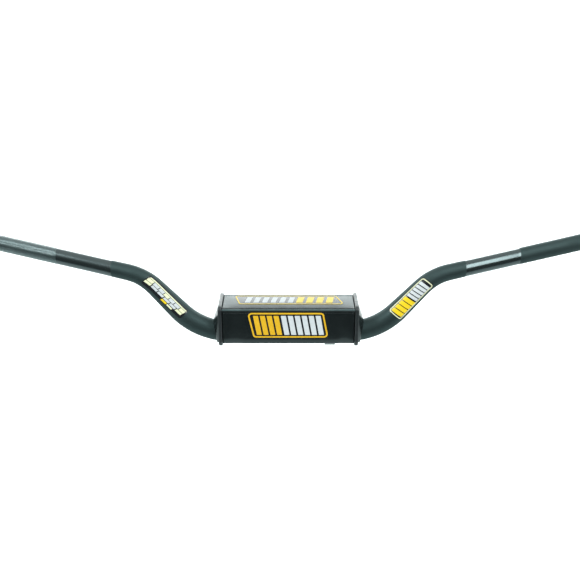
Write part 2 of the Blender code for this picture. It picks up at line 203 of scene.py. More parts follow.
def new_material(name, **surface):
    """A material with its Principled shader's sockets set. Returns it with its tree and its shader."""
    made = bpy.data.materials.new(name)
    made.use_nodes = True
    tree = made.node_tree
    shader = tree.nodes["Principled BSDF"]
    for words, value in surface.items():
        socket = words.replace("_", " ").title().replace("Ior", "IOR")
        shader.inputs[socket].default_value = (*value, 1.0) if socket == "Base Color" else value
    return made, tree, shader


def feed(tree, shader, **sources):
    """Links each node's first output to the shader's socket of that name."""
    for words, node in sources.items():
        tree.links.new(node.outputs[0], shader.inputs[words.replace("_", " ").title()])


def per_mm(millimetres):
    """Texture scale, on coordinates in metres, for features of that many millimetres."""
    return 1.0 / (millimetres * MM)


def shade_between(tree, shader, factor, first, second):
    """Base colour that runs from one colour to another with a factor."""
    mix = add_node(tree, "Mix", {"data_type": "RGBA"}, {0: factor, 6: (*first, 1.0), 7: (*second, 1.0)})
    tree.links.new(mix.outputs[2], shader.inputs["Base Color"])


def scaled(values, factor):
    return [min(1.0, value * factor) for value in values]


def anodised_aluminium(colours, sizes):
    """Hard-anodised aluminium tube, bead blasted to a matte grain, with bands polished to a satin gloss."""
    made, tree, shader = new_material("hard_anodised_blasted_aluminium", metallic=0.92, coat_roughness=0.2)
    place = add_node(tree, "TexCoord").outputs["Object"]
    along = add_node(tree, "SeparateXYZ", inputs={0: place}).outputs["X"]
    away = add_node(tree, "Math", {"operation": "ABSOLUTE"}, {0: along})
    edge = 0.5 * MM
    smooth = {"interpolation_type": "SMOOTHSTEP"}
    step = {0: away, 1: sizes.blasted_half - edge, 2: sizes.blasted_half + edge}
    band_start = add_node(tree, "MapRange", smooth, step)
    # The left grip keeps the polished ground under its knurl; the right one is blasted for the throttle.
    step = {0: along, 1: sizes.satin_half - edge, 2: sizes.satin_half + edge}
    band_end = add_node(tree, "MapRange", smooth, step)
    satin = add_node(tree, "Math", {"operation": "SUBTRACT"}, {0: band_start, 1: band_end})
    # Blasting grit leaves dimples about 0.2 mm wide; they are drawn 0.9 mm wide, so that they show.
    grit = add_node(tree, "TexNoise", inputs={"Vector": place, "Scale": per_mm(0.9), "Detail": 4.0})
    cloud = add_node(tree, "TexNoise", inputs={"Vector": place, "Scale": per_mm(26), "Detail": 3.0})
    blasted = add_node(tree, "MapRange", inputs={0: cloud, 1: 0.3, 2: 0.7, 3: 0.53, 4: 0.62})
    polished = add_node(tree, "MapRange", inputs={0: grit, 1: 0.3, 2: 0.7, 3: 0.18, 4: 0.24})
    rough = add_node(tree, "Mix", {"data_type": "FLOAT"}, {0: satin, 2: blasted, 3: polished})
    tone = add_node(tree, "MapRange", inputs={0: cloud, 1: 0.35, 2: 0.65, 3: 0.93, 4: 1.06})
    dyes = {0: satin, 6: (*colours.alloy, 1), 7: (*colours.satin, 1)}
    base = add_node(tree, "Mix", {"data_type": "RGBA"}, dyes)
    grip = add_node(tree, "MapRange", inputs={0: along, 1: -sizes.satin_half, 2: -sizes.satin_half - edge})
    dyes = {0: grip, 6: base.outputs[2], 7: (*colours.knurl, 1)}
    gripped = add_node(tree, "Mix", {"data_type": "RGBA"}, dyes)
    # Gloves rub the knurl's crests bright in short streaks about 1 mm wide.
    stretched = add_node(tree, "VectorMath", {"operation": "MULTIPLY"}, {0: place, 1: (0.5, 1.0, 1.0)})
    streak = add_node(tree, "TexNoise", inputs={"Vector": stretched, "Scale": per_mm(1.1), "Detail": 2.0})
    worn = add_node(tree, "MapRange", inputs={0: streak, 1: 0.35, 2: 0.65, 3: 0.44, 4: 0.26})
    uneven = add_node(tree, "Mix", {"data_type": "FLOAT"}, {0: grip, 2: rough, 3: worn})
    rubbed = add_node(tree, "MapRange", inputs={0: streak, 1: 0.36, 2: 0.64, 3: 0.85, 4: 1.6})
    varied = add_node(tree, "Mix", {"data_type": "FLOAT"}, {0: grip, 2: tone, 3: rubbed})
    toned = add_node(tree, "VectorMath", {"operation": "SCALE"}, {0: gripped.outputs[2], "Scale": varied})
    sealed = add_node(tree, "MapRange", inputs={0: satin, 3: 0.0, 4: 0.9})
    dull = add_node(tree, "MapRange", inputs={0: satin, 3: 0.22, 4: 0.03})
    bump = add_node(tree, "Bump", inputs={"Height": grit, "Strength": dull, "Distance": 0.25 * MM})
    feed(tree, shader, roughness=uneven, base_color=toned, coat_weight=sealed, normal=bump)
    return made


def moulded_rubber(colours):
    """Injection-moulded thermoplastic rubber: dull and faintly cloudy, with the mould's fine spark grain."""
    made, tree, shader = new_material("moulded_thermoplastic_rubber", specular_ior_level=0.4)
    place = add_node(tree, "TexCoord").outputs["Object"]
    # Spark grain of about 0.1 mm is drawn 0.5 mm wide, so that it shows.
    grain = add_node(tree, "TexNoise", inputs={"Vector": place, "Scale": per_mm(0.5), "Detail": 3.0})
    cloud = add_node(tree, "TexNoise", inputs={"Vector": place, "Scale": per_mm(7), "Detail": 2.0})
    rough = add_node(tree, "MapRange", inputs={0: cloud, 3: 0.5, 4: 0.68})
    shade_between(tree, shader, cloud, scaled(colours.rubber, 0.8), scaled(colours.rubber, 1.3))
    bump = add_node(tree, "Bump", inputs={"Height": grain, "Strength": 0.3, "Distance": 0.1 * MM})
    feed(tree, shader, roughness=rough, normal=bump)
    return made


def calendered_vinyl(name, dye):
    """PVC rolled onto a knit backing: glossy, pressed with a fine leather grain."""
    made, tree, shader = new_material(name, ior=1.5, specular_tint=(0.84, 1.0, 1.0, 1.0))
    place = add_node(tree, "TexCoord").outputs["Object"]
    # Leather grain of about 0.7 mm, with slow waves from the foam behind.
    cells = add_node(tree, "TexVoronoi", {"feature": "SMOOTH_F1"}, {"Vector": place, "Scale": per_mm(0.9)})
    waves = add_node(tree, "TexNoise", inputs={"Vector": place, "Scale": per_mm(15), "Detail": 2.0})
    rough = add_node(tree, "MapRange", inputs={0: waves, 1: 0.3, 2: 0.7, 3: 0.2, 4: 0.27})
    shade_between(tree, shader, waves, scaled(dye, 0.75), scaled(dye, 1.25))
    grain = {"Height": cells.outputs["Distance"], "Strength": 0.08, "Distance": 0.08 * MM}
    press = add_node(tree, "Bump", inputs=grain)
    slow = {"Height": waves, "Strength": 0.25, "Distance": 0.5 * MM, "Normal": press}
    swell = add_node(tree, "Bump", inputs=slow)
    feed(tree, shader, roughness=rough, normal=swell)
    return made


def binding_tape(colours):
    """Vinyl binding tape folded over the raw edge: ribbed across its length, glossier on the fold."""
    made, tree, shader = new_material("folded_vinyl_binding_tape", coat_weight=0.3, coat_roughness=0.25)
    place = add_node(tree, "TexCoord").outputs["Object"]
    threads = {"Vector": place, "Scale": per_mm(1.1) / math.tau, "Distortion": 0.6, "Detail Scale": 2.0}
    ribs = add_node(tree, "TexWave", {"bands_direction": "DIAGONAL"}, threads)
    wear = add_node(tree, "TexNoise", inputs={"Vector": place, "Scale": per_mm(4), "Detail": 3.0})
    rough = add_node(tree, "MapRange", inputs={0: wear, 1: 0.3, 2: 0.7, 3: 0.28, 4: 0.42})
    shade_between(tree, shader, wear, scaled(colours.binding, 0.7), scaled(colours.binding, 1.5))
    bump = add_node(tree, "Bump", inputs={"Height": ribs.outputs[1], "Strength": 0.15, "Distance": 0.12 * MM})
    feed(tree, shader, roughness=rough, normal=bump)
    return made


def closed_cell_foam(colours):
    """Cross-linked polyethylene foam, knife cut: matte, with open half cells over its cut faces."""
    made, tree, shader = new_material("knife_cut_closed_cell_foam", specular_ior_level=0.25, roughness=0.92)
    place = add_node(tree, "TexCoord").outputs["Object"]
    cells = add_node(tree, "TexVoronoi", {"feature": "F1"}, {"Vector": place, "Scale": per_mm(1.2)})
    pits_and_painted_shade = add_node(tree, "MapRange", inputs={0: cells.outputs["Distance"], 1: 0.0, 2: 0.5})
    # The colour darkens into each cell's pit: painted shade in the open cells.
    shade_between(tree, shader, pits_and_painted_shade, scaled(colours.foam, 0.4), scaled(colours.foam, 1.3))
    bump = add_node(tree, "Bump", inputs={"Height": pits_and_painted_shade, "Strength": 0.7, "Distance": 0.4 * MM})
    feed(tree, shader, normal=bump)
    return made


def bonded_thread(colours):
    """Bonded polyester thread: three twisted strands under a waxy finish, with shade painted into the grooves
    between them.
    """
    made, tree, shader = new_material("bonded_polyester_thread", roughness=0.5, sheen_weight=0.25)
    place = add_node(tree, "TexCoord").outputs["Object"]
    twist = {"Vector": place, "Scale": per_mm(0.35) / math.tau}
    plies_and_painted_shade = add_node(tree, "TexWave", {"bands_direction": "DIAGONAL"}, twist)
    # The colour darkens into the grooves between the plies and lightens on their crests: painted shade and
    # highlight.
    shade_between(tree, shader, plies_and_painted_shade.outputs[1], scaled(colours.thread, 0.5), scaled(colours.thread, 1.6))
    bump = add_node(tree, "Bump", inputs={"Height": plies_and_painted_shade.outputs[1], "Strength": 0.5, "Distance": 0.1 * MM})
    feed(tree, shader, normal=bump)
    return made


def printed_film(name, ink, gloss, shine=0.3):
    """Cast vinyl film, screen printed: a level coat of ink with a faint mottle, under a clear laminate."""
    made, tree, shader = new_material(name, specular_ior_level=shine)
    place = add_node(tree, "TexCoord").outputs["Object"]
    mottle = add_node(tree, "TexNoise", inputs={"Vector": place, "Scale": per_mm(3), "Detail": 3.0})
    rough = add_node(tree, "MapRange", inputs={0: mottle, 1: 0.3, 2: 0.7, 3: gloss, 4: gloss + 0.1})
    shade_between(tree, shader, mottle, scaled(ink, 0.86), scaled(ink, 1.08))
    bump = add_node(tree, "Bump", inputs={"Height": mottle, "Strength": 0.05, "Distance": 0.2 * MM})
    feed(tree, shader, roughness=rough, normal=bump)
    return made


def woven_tape(name, dye, rib):
    """Nylon tape woven with raised ribs across it, with a highlight painted on the ribs' tops and shade
    painted between them.
    """
    made, tree, shader = new_material(name, roughness=0.75, sheen_weight=0.3, sheen_roughness=0.5)
    place = add_node(tree, "TexCoord").outputs["Object"]
    weft = {"Vector": place, "Scale": per_mm(rib) / math.tau, "Distortion": 0.4}
    across = add_node(tree, "TexWave", {"bands_direction": "X"}, weft)
    warp = {"Vector": place, "Scale": per_mm(rib * 1.6) / math.tau}
    along = add_node(tree, "TexWave", {"bands_direction": "Z"}, warp)
    weave_and_painted_highlight = add_node(tree, "Math", {"operation": "MULTIPLY"}, {0: across.outputs[1], 1: along.outputs[1]})
    # The colour follows the weave's height: painted highlight on the raised ribs and painted shade between
    # them.
    shade_between(tree, shader, weave_and_painted_highlight, scaled(dye, 0.6), scaled(dye, 1.3))
    bump = add_node(tree, "Bump", inputs={"Height": weave_and_painted_highlight, "Strength": 0.6, "Distance": 0.25 * MM})
    feed(tree, shader, normal=bump)
    return made


def finish_of(name):
    """The finish of that short name, made once."""
    colours = bpy.context.scene.handlebar_colours
    sizes = bpy.context.scene.handlebar_sizes
    makers = {
        "alloy": lambda: anodised_aluminium(colours, sizes),
        "rubber": lambda: moulded_rubber(colours),
        "vinyl": lambda: calendered_vinyl("calendered_pvc_coated_fabric", colours.vinyl),
        # The piping's lighter colour paints the highlight along its rounded top.
        "piping": lambda: calendered_vinyl("extruded_pvc_piping_painted_highlight", colours.piping),
        "binding": lambda: binding_tape(colours),
        "foam": lambda: closed_cell_foam(colours),
        "thread": lambda: bonded_thread(colours),
        "ground": lambda: printed_film("cast_vinyl_film_black", colours.film, 0.18, 0.55),
        "amber": lambda: printed_film("cast_vinyl_film_amber", colours.amber, 0.3),
        "yellow": lambda: printed_film("cast_vinyl_film_yellow", colours.yellow, 0.3),
        "cream": lambda: printed_film("cast_vinyl_film_cream", colours.cream, 0.3),
        "white": lambda: printed_film("cast_vinyl_film_white", colours.white, 0.3),
        # The top badge's white and yellow are darker copies of the inks: painted shade that offsets the
        # stronger light on the pad's top.
        "top_white_with_painted_shade": lambda: printed_film("screen_printed_white_ink_painted_shade", scaled(colours.white, 0.72), 0.3),
        "top_yellow_with_painted_shade": lambda: printed_film("screen_printed_yellow_ink_painted_shade", scaled(colours.yellow, 0.76), 0.3),
        "hook": lambda: woven_tape("moulded_nylon_hook_tape", scaled(colours.thread, 0.8), 1.2),
        "loop": lambda: woven_tape("brushed_nylon_loop_tape", colours.thread, 0.7),
        "webbing": lambda: woven_tape("woven_nylon_webbing", colours.webbing, 0.8),
    }
    key = "handlebar_" + name
    if key not in bpy.context.scene:
        bpy.context.scene[key] = makers[name]().name
    return bpy.data.materials[bpy.context.scene[key]]


# ---- Making pieces ----


def finish_piece(name, shape, body, nodes, finishes, sharp=35.0):
    """Stores a mesh as a piece with its finishes, that rides on a body and hides the CAD nodes that it stands
    for.
    """
    mesh = bpy.data.meshes.new(name)
    shape.to_mesh(mesh)
    shape.free()
    obj = bpy.data.objects.new(name, mesh)
    bpy.context.scene.collection.objects.link(obj)
    for finish in finishes:
        mesh.materials.append(finish_of(finish))
    mesh.shade_smooth()
    mesh.set_sharp_from_angle(angle=math.radians(sharp))
    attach(obj, body)
    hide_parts(*nodes)
    return obj


def turn_outward(shape, middle):
    """Makes an open sheet's faces point away from a place."""
    bmesh.ops.recalc_face_normals(shape, faces=shape.faces)
    facing = sum((face.calc_center_median() - middle).dot(face.normal) for face in shape.faces)
    if facing < 0:
        bmesh.ops.reverse_faces(shape, faces=shape.faces)


def mapped_grid(columns, rows, place, closed=False):
    """A grid whose points go where place(across, along) says, with both from 0 to 1."""
    shape = bmesh.new()
    bmesh.ops.create_grid(shape, x_segments=columns, y_segments=rows, size=1.0)
    for vert in shape.verts:
        across = round((vert.co.x + 1) / 2 * columns) / columns
        along = round((vert.co.y + 1) / 2 * rows) / rows
        vert.co = place(across, along)
    if closed:
        bmesh.ops.remove_doubles(shape, verts=shape.verts, dist=0.001 * MM)
    return shape


def close_ends(shape):
    """Fills a tube's open ends and points its faces outward."""
    bmesh.ops.holes_fill(shape, edges=[edge for edge in shape.edges if edge.is_boundary])
    bmesh.ops.recalc_face_normals(shape, faces=shape.faces)


def arc(centre, radius, start, stop, steps=8):
    """Points on an arc, with its angles in degrees."""
    points = []
    for step in range(steps + 1):
        angle = math.radians(start + (stop - start) * step / steps)
        points.append(Vector((centre[0] + radius * math.cos(angle), centre[1] + radius * math.sin(angle))))
    return points


def walk(points):
    """A function from 0 to 1 that walks a path at an even pace and gives (point, direction)."""
    marks = [0.0]
    for near, far in zip(points, points[1:]):
        marks.append(marks[-1] + (far - near).length)

    def at(share):
        target = min(max(share, 0.0), 1.0) * marks[-1]
        for index in range(1, len(points)):
            if marks[index] >= target - 1e-9 and marks[index] > marks[index - 1]:
                break
        near, far = points[index - 1], points[index]
        part = (target - marks[index - 1]) / (marks[index] - marks[index - 1])
        return near + (far - near) * part, (far - near).normalized()

    return at, marks[-1]


def thicken(obj, thickness, smooth=0):
    """Gives a sheet its thickness inward, after smoothing it with a level of subdivision."""
    if smooth:
        subdivision = obj.modifiers.new("Subdivision", "SUBSURF")
        subdivision.levels = smooth
        subdivision.render_levels = smooth
    solid = obj.modifiers.new("Solidify", "SOLIDIFY")
    solid.thickness = thickness
    solid.offset = -1.0


def surface_of(*objects):
    """Trees of the finished surfaces of objects, for dropping points onto them."""
    bpy.context.view_layer.update()
    graph = bpy.context.evaluated_depsgraph_get()
    return [BVHTree.FromObject(obj, graph) for obj in objects]


def drop(trees, start, direction):
    """Where a line first meets the surfaces, with the normal there."""
    hits = [tree.ray_cast(start, direction) for tree in trees]
    hits = [hit for hit in hits if hit[0] is not None]
    if not hits:
        return start, -direction
    nearest = min(hits, key=lambda hit: hit[3])
    return nearest[0], nearest[1]


def sew(shape, route, sizes):
    """Adds a row of stitches along a route of (place, normal) points."""
    places = [place for place, _ in route]
    at, length = walk(places)
    pitch = sizes.stitch + sizes.stitch_gap
    count = max(1, int(length / pitch))
    for index in range(count):
        share = (index + 0.5) / count
        place, direction = at(share)
        normal = route[min(len(route) - 1, round(share * (len(route) - 1)))][1]
        side = direction.cross(normal).normalized()
        lift = side.cross(direction)
        turn = Matrix((direction, side, lift)).transposed().to_4x4()
        spread = Matrix.Diagonal((sizes.stitch / 2, sizes.thread / 2, sizes.thread / 2, 1.0))
        bmesh.ops.create_uvsphere(
            shape, u_segments=6, v_segments=5, radius=1.0, matrix=Matrix.Translation(place) @ turn @ spread
        )


# ---- Bar ----


def fillet(before, vertex, after, radius, steps):
    """Points of the arc that rounds a vertex."""
    back = (before - vertex).normalized()
    ahead = (after - vertex).normalized()
    turn = math.pi - back.angle(ahead)
    centre = vertex + (back + ahead).normalized() * radius / math.cos(turn / 2)
    start = vertex + back * radius * math.tan(turn / 2)
    arm = (start - centre).normalized()
    points = []
    for step in range(steps + 1):
        angle = turn * step / steps
        points.append(centre + radius * (arm * math.cos(angle) - back * math.sin(angle)))
    return points


def half_route():
    """(distance, point) along the right half of the bar's centre line."""
    middle = Vector((0.0, 0.0, 0.0))
    points = [middle]
    points += fillet(middle, CLAMP_VERTEX, RISER_TOP, LOWER_BEND, BEND_STEPS)
    points += fillet(CLAMP_VERTEX, RISER_TOP, BAR_END, UPPER_BEND, BEND_STEPS)
    points.append(BAR_END)
    run = 0.0
    route = [(0.0, middle)]
    for near, far in zip(points, points[1:]):
        run += (far - near).length
        route.append((run, far))
    return route


ROUTE = half_route()
HALF_BAR = ROUTE[-1][0]


def route_point(distance):
    """Point of the centre line at a signed distance from its middle."""
    sign = -1 if distance < 0 else 1
    index = 1
    while index < len(ROUTE) - 1 and ROUTE[index][0] < abs(distance):
        index += 1
    (near_at, near), (far_at, far) = ROUTE[index - 1], ROUTE[index]
    place = near + (far - near) * (abs(distance) - near_at) / (far_at - near_at)
    return Vector((sign * place.x, place.y, place.z))


def route_direction(distance):
    step = 0.5 * MM
    return (route_point(distance + step) - route_point(distance - step)).normalized()


def bar_radius(distance, sizes):
    """Radius of the bar at a signed distance: its taper, and the slightly fuller grip on the right."""
    stops = (
        (TAPER_START, sizes.clamp_diameter / 2),
        (TAPER_SHOULDER, sizes.shoulder_diameter / 2),
        (TAPER_END, sizes.grip_diameter / 2),
    )
    far = abs(distance)
    if far <= stops[0][0]:
        return stops[0][1]
    radius = stops[-1][1]
    for (near_at, big), (far_at, small) in zip(stops, stops[1:]):
        if far <= far_at:
            radius = big + (small - big) * (far - near_at) / (far_at - near_at)
            break
    if distance > GRIP_START:
        radius += FULLER_GRIP * min(1.0, (distance - GRIP_START) / (1.5 * MM))
    return radius


def ring_place(distance, radius):
    """Matrix that takes a unit circle about Z to a ring about the bar: X goes to the top, Y to the front."""
    direction = route_direction(distance)
    top = direction.cross(Vector((0.0, 1.0, 0.0))).normalized()
    front = direction.cross(top)
    turn = Matrix((top, front, direction)).transposed().to_4x4()
    return Matrix.Translation(route_point(distance)) @ turn @ Matrix.Diagonal((radius, radius, 1.0, 1.0))


def sweep_tube(shape, stations, sides):
    """Extrudes a circle through (distance, radius) stations. Returns the first and last rings' edges."""
    ring = bmesh.ops.create_circle(shape, segments=sides, radius=1.0)["verts"]
    edges = list({edge for vert in ring for edge in vert.link_edges})
    first = edges
    previous = Matrix.Identity(4)
    for index, (distance, radius) in enumerate(stations):
        if index:
            grown = bmesh.ops.extrude_edge_only(shape, edges=edges)["geom"]
            ring = [part for part in grown if isinstance(part, bmesh.types.BMVert)]
            inside = set(ring)
            edges = [
                part
                for part in grown
                if isinstance(part, bmesh.types.BMEdge) and inside.issuperset(part.verts)
            ]
        here = ring_place(distance, radius)
        bmesh.ops.transform(shape, matrix=here @ previous.inverted(), verts=ring)
        previous = here
    return first, edges


def knurl(shape, faces, depth):
    """Turns square cells into raised diamonds: pokes each cell, dissolves its old edges, then pokes again."""
    faces = list(faces)
    inside = set(faces)
    shared = [edge for edge in {e for f in faces for e in f.edges} if inside.issuperset(edge.link_faces)]
    poked = bmesh.ops.poke(shape, faces=faces, offset=0.0)
    bmesh.ops.dissolve_edges(shape, edges=shared)
    diamonds = {face for vert in poked["verts"] if vert.is_valid for face in vert.link_faces}
    bmesh.ops.poke(shape, faces=list(diamonds), offset=depth)


def spaced(start, stop, step):
    """Evenly spaced values from start to stop, about a step apart."""
    count = max(1, round(abs(stop - start) / step))
    return [start + (stop - start) * index / count for index in range(count + 1)]


class HANDLEBAR_OT_bar_tube(bpy.types.Operator):
    """Sweep the tapered bar with its wall, and roll the knurl onto its grips"""

    bl_idname = "handlebar.bar_tube"
    bl_label = "Bar Tube"

    def execute(self, context):
        sizes = context.scene.handlebar_sizes
        chamfer = 0.6 * MM
        last = HALF_BAR - chamfer
        pitch = math.pi * sizes.grip_diameter / sizes.knurl_sides
        left_knurl = (-(HALF_BAR - 4 * MM), -LEFT_KNURL_START)
        right_knurl = (RIGHT_KNURL_START, HALF_BAR - 4 * MM)
        runs = (
            spaced(-last, left_knurl[0], 2 * MM)[:-1]
            + spaced(*left_knurl, pitch)[:-1]
            + spaced(left_knurl[1], right_knurl[0], 3 * MM)[:-1]
            + spaced(*right_knurl, pitch)[:-1]
            + spaced(right_knurl[1], last, 2 * MM)
        )
        stations = [(distance, bar_radius(distance, sizes)) for distance in runs]
        end_radius = bar_radius(HALF_BAR, sizes) - chamfer
        stations = [(-HALF_BAR, end_radius - FULLER_GRIP), *stations, (HALF_BAR, end_radius)]
        shape = bmesh.new()
        outer = sweep_tube(shape, stations, sizes.knurl_sides)
        turn_outward(shape, Vector((0.0, 0.02, 0.05)))
        bounds = [route_point(place).x for place in (*left_knurl, *right_knurl)]
        cells = []
        for face in shape.faces:
            middle = face.calc_center_median().x
            if bounds[0] < middle < bounds[1] or bounds[2] < middle < bounds[3]:
                cells.append(face)
        knurl(shape, cells, sizes.knurl_depth)
        runs = spaced(-HALF_BAR, HALF_BAR, 6 * MM)
        bore = [(distance, bar_radius(distance, sizes) - sizes.wall) for distance in runs]
        inner = sweep_tube(shape, bore, sizes.knurl_sides)
        for outside, inside in zip(outer, inner):
            bmesh.ops.bridge_loops(shape, edges=list(outside) + list(inside))
        bmesh.ops.recalc_face_normals(shape, faces=shape.faces)
        finish_piece("tapered_bar", shape, "bar", ["bar_tube"], ["alloy"], sharp=14)
        return {"FINISHED"}


class HANDLEBAR_OT_end_plugs(bpy.types.Operator):
    """Turn the two end plugs: a domed cap with a moulded ring, over a ribbed barrel"""

    bl_idname = "handlebar.end_plugs"
    bl_label = "End Plugs"

    def execute(self, context):
        cap = 10.9 * MM
        height = 3.5 * MM
        barrel = 20 * MM
        core = 5.2 * MM
        for side, sign in SIDES:
            # The cap's face: a sunk middle, a raised disc and a moulded groove, as (radius, depth) in mm.
            face = ((0.0, 0.9), (2.2, 0.9), (2.7, 0.4), (6.3, 0.2), (6.6, 0.7), (7.4, 0.7), (7.7, 0.3))
            profile = [(radius * MM, height - depth * MM) for radius, depth in face]
            for point in arc((cap - 1.2 * MM, height - 1.4 * MM), 1.2 * MM, 75, 0, 5):
                profile.append((point.x, point.y))
            profile += [(cap, GAP), (core, GAP)]
            pitch = barrel / 3
            for rib in range(3):
                top = -(rib + 0.25) * pitch
                profile += [(core, top), (core + 1.4 * MM, top - 0.25 * pitch), (core, top - 0.5 * pitch)]
            profile += [(core, -barrel), (0.0, -barrel)]
            shape = bmesh.new()
            verts = [shape.verts.new((radius, 0.0, up)) for radius, up in profile]
            edges = [shape.edges.new(pair) for pair in zip(verts, verts[1:])]
            turn = {"axis": (0, 0, 1), "cent": (0, 0, 0), "angle": math.tau, "steps": 48, "use_merge": True}
            bmesh.ops.spin(shape, geom=verts + edges, **turn)
            bmesh.ops.remove_doubles(shape, verts=shape.verts, dist=0.01 * MM)
            bmesh.ops.recalc_face_normals(shape, faces=shape.faces)
            out = (BAR_END - RISER_TOP).normalized()
            out.x *= sign
            turned = out.to_track_quat("Z", "Y").to_matrix().to_4x4()
            place = Matrix.Translation((sign * BAR_END.x, BAR_END.y, BAR_END.z)) @ turned
            bmesh.ops.transform(shape, matrix=place, verts=shape.verts)
            name = "bar_end_plug_" + side
            finish_piece("moulded_plug_" + side, shape, "bar", [name], ["rubber"], sharp=40)
        return {"FINISHED"}


# ---- Films ----

# Layers of the riser decals
GROUND, YELLOW, CREAM, WHITE = range(4)


def rounded(corners, radius, steps=5):
    """Corners of an outline, each rounded by an arc."""
    points = []
    count = len(corners)
    for index in range(count):
        before, here, after = (Vector((*corners[(index + step) % count], 0.0)) for step in (-1, 0, 1))
        points += [point.xy for point in fillet(before, here, after, radius, steps)]
    return points


def cut_film(corners, place, thickness, layer, radius=0.0, stroke=0.0, cell=3 * MM):
    """A film cut to an outline, or to a stroke along it, and laid where place(a, b) says."""
    shape = bmesh.new()
    points = rounded(corners, radius) if radius else [Vector(corner) for corner in corners]
    face = shape.faces.new([shape.verts.new((*point, 0.0)) for point in points])
    shape.normal_update()
    if stroke:
        bmesh.ops.inset_region(shape, faces=[face], thickness=stroke, use_boundary=True, use_even_offset=True)
        bmesh.ops.delete(shape, geom=[face], context="FACES")
    for axis in (0, 1):
        low = min(point[axis] for point in points)
        high = max(point[axis] for point in points)
        normal = Vector((1.0, 0.0, 0.0)) if axis == 0 else Vector((0.0, 1.0, 0.0))
        for cut in spaced(low, high, cell)[1:-1]:
            whole = list(shape.verts) + list(shape.edges) + list(shape.faces)
            bmesh.ops.bisect_plane(shape, geom=whole, plane_co=normal * cut, plane_no=normal)
    bmesh.ops.triangulate(shape, faces=[f for f in shape.faces if len(f.verts) > 4])
    for vert in shape.verts:
        vert.co = place(vert.co.x, vert.co.y)
    shape.normal_update()
    bmesh.ops.solidify(shape, geom=shape.faces[:], thickness=thickness)
    bmesh.ops.recalc_face_normals(shape, faces=shape.faces)
    for made in shape.faces:
        made.material_index = layer
    mesh = bpy.data.meshes.new("cut")
    shape.to_mesh(mesh)
    shape.free()
    return mesh


def gather(meshes):
    """One bmesh of all the meshes, which are removed."""
    shape = bmesh.new()
    for mesh in meshes:
        shape.from_mesh(mesh)
        bpy.data.meshes.remove(mesh)
    return shape


def slanted_bars(start, stop, low, high, count, gap, slant):
    """Corners of evenly wide bars between two places, leaning by slant from low to high."""
    width = (stop - start - gap * (count - 1)) / count
    bars = []
    for index in range(count):
        left = start + index * (width + gap)
        bars.append([(left, low), (left + width, low), (left + width + slant, high), (left + slant, high)])
    return bars


def wrap(side_sign, sizes, lift):
    """A function that lays (along, round) on a riser's front: round is positive to its outer, lower side."""

    def place(along, around):
        distance = side_sign * along
        direction = route_direction(distance)
        face = Vector((0.0, -1.0, 0.35))
        face = (face - direction * face.dot(direction)).normalized()
        side = direction.cross(face)
        radius = bar_radius(distance, sizes) + lift
        angle = around / bar_radius(distance, sizes)
        return route_point(distance) + radius * (face * math.cos(angle) + side * math.sin(angle))

    return place


class HANDLEBAR_OT_riser_decals(bpy.types.Operator):
    """Wrap a printed film over the front of each riser

    A print is its corners, its layer and, for a line, its radius and its width. Its first corner values run
    along the bar from its middle, and its second ones round the bar.
    """

    bl_idname = "handlebar.riser_decals"
    bl_label = "Riser Decals"

    def execute(self, context):
        sizes = context.scene.handlebar_sizes
        for (side, sign), prints in zip(SIDES, (self.left_prints(), self.right_prints())):
            ground = wrap(sign, sizes, GAP)
            ink = wrap(sign, sizes, GAP + sizes.film)
            outline = prints[0][0]
            cuts = [cut_film(outline, ground, sizes.film, GROUND, radius=3 * MM, cell=2.5 * MM)]
            for corners, layer, *line in prints[1:]:
                cuts.append(cut_film(corners, ink, INK, layer, *line, cell=2.5 * MM))
            layers = ["ground", "yellow", "cream", "white"]
            name = "riser_decal_" + side
            finish_piece("wrapped_decal_" + side, gather(cuts), "bar", [name], layers, sharp=40)
        return {"FINISHED"}

    def left_prints(self):
        """A cream edge line over a row of white blocks, with a yellow and a cream tag below."""
        prints = [([(0.1500, -0.0105), (0.2200, -0.0105), (0.2250, 0.0062), (0.1530, 0.0062)], GROUND)]
        prints.append(([(0.1525, -0.0085), (0.2175, -0.0085), (0.2190, -0.0068), (0.1525, -0.0068)], CREAM))
        for index, corners in enumerate(slanted_bars(0.1530, 0.2195, -0.0062, -0.0022, 7, 0.0011, 0.0012)):
            prints.append((corners, WHITE if index % 3 else CREAM))
        for index, corners in enumerate(slanted_bars(0.1545, 0.2215, -0.0016, 0.0016, 6, 0.0014, 0.0012)):
            prints.append((corners, CREAM if index in (0, 5) else WHITE))
        prints.append(([(0.1795, 0.0024), (0.1885, 0.0024), (0.1895, 0.0052), (0.1805, 0.0052)], YELLOW))
        prints.append(([(0.1690, 0.0026), (0.1783, 0.0026), (0.1790, 0.0050), (0.1697, 0.0050)], CREAM))
        return prints

    def right_prints(self):
        """A cream outline round a block of yellow bars and a block of white bars."""
        outline = [(0.1515, -0.0112), (0.2150, -0.0104), (0.2195, 0.0078), (0.1545, 0.0100)]
        edge = [(0.1504, -0.0120), (0.2158, -0.0112), (0.2205, 0.0086), (0.1537, 0.0108)]
        prints = [(edge, GROUND), (outline, CREAM, 3.2 * MM, 1.3 * MM)]
        prints += [(bar, YELLOW) for bar in slanted_bars(0.1545, 0.1820, -0.0088, 0.0076, 4, 0.0012, 0.0032)]
        prints += [(bar, WHITE) for bar in slanted_bars(0.1842, 0.2105, -0.0086, 0.0066, 5, 0.0014, 0.0032)]
        return prints


# ---- Pad ----


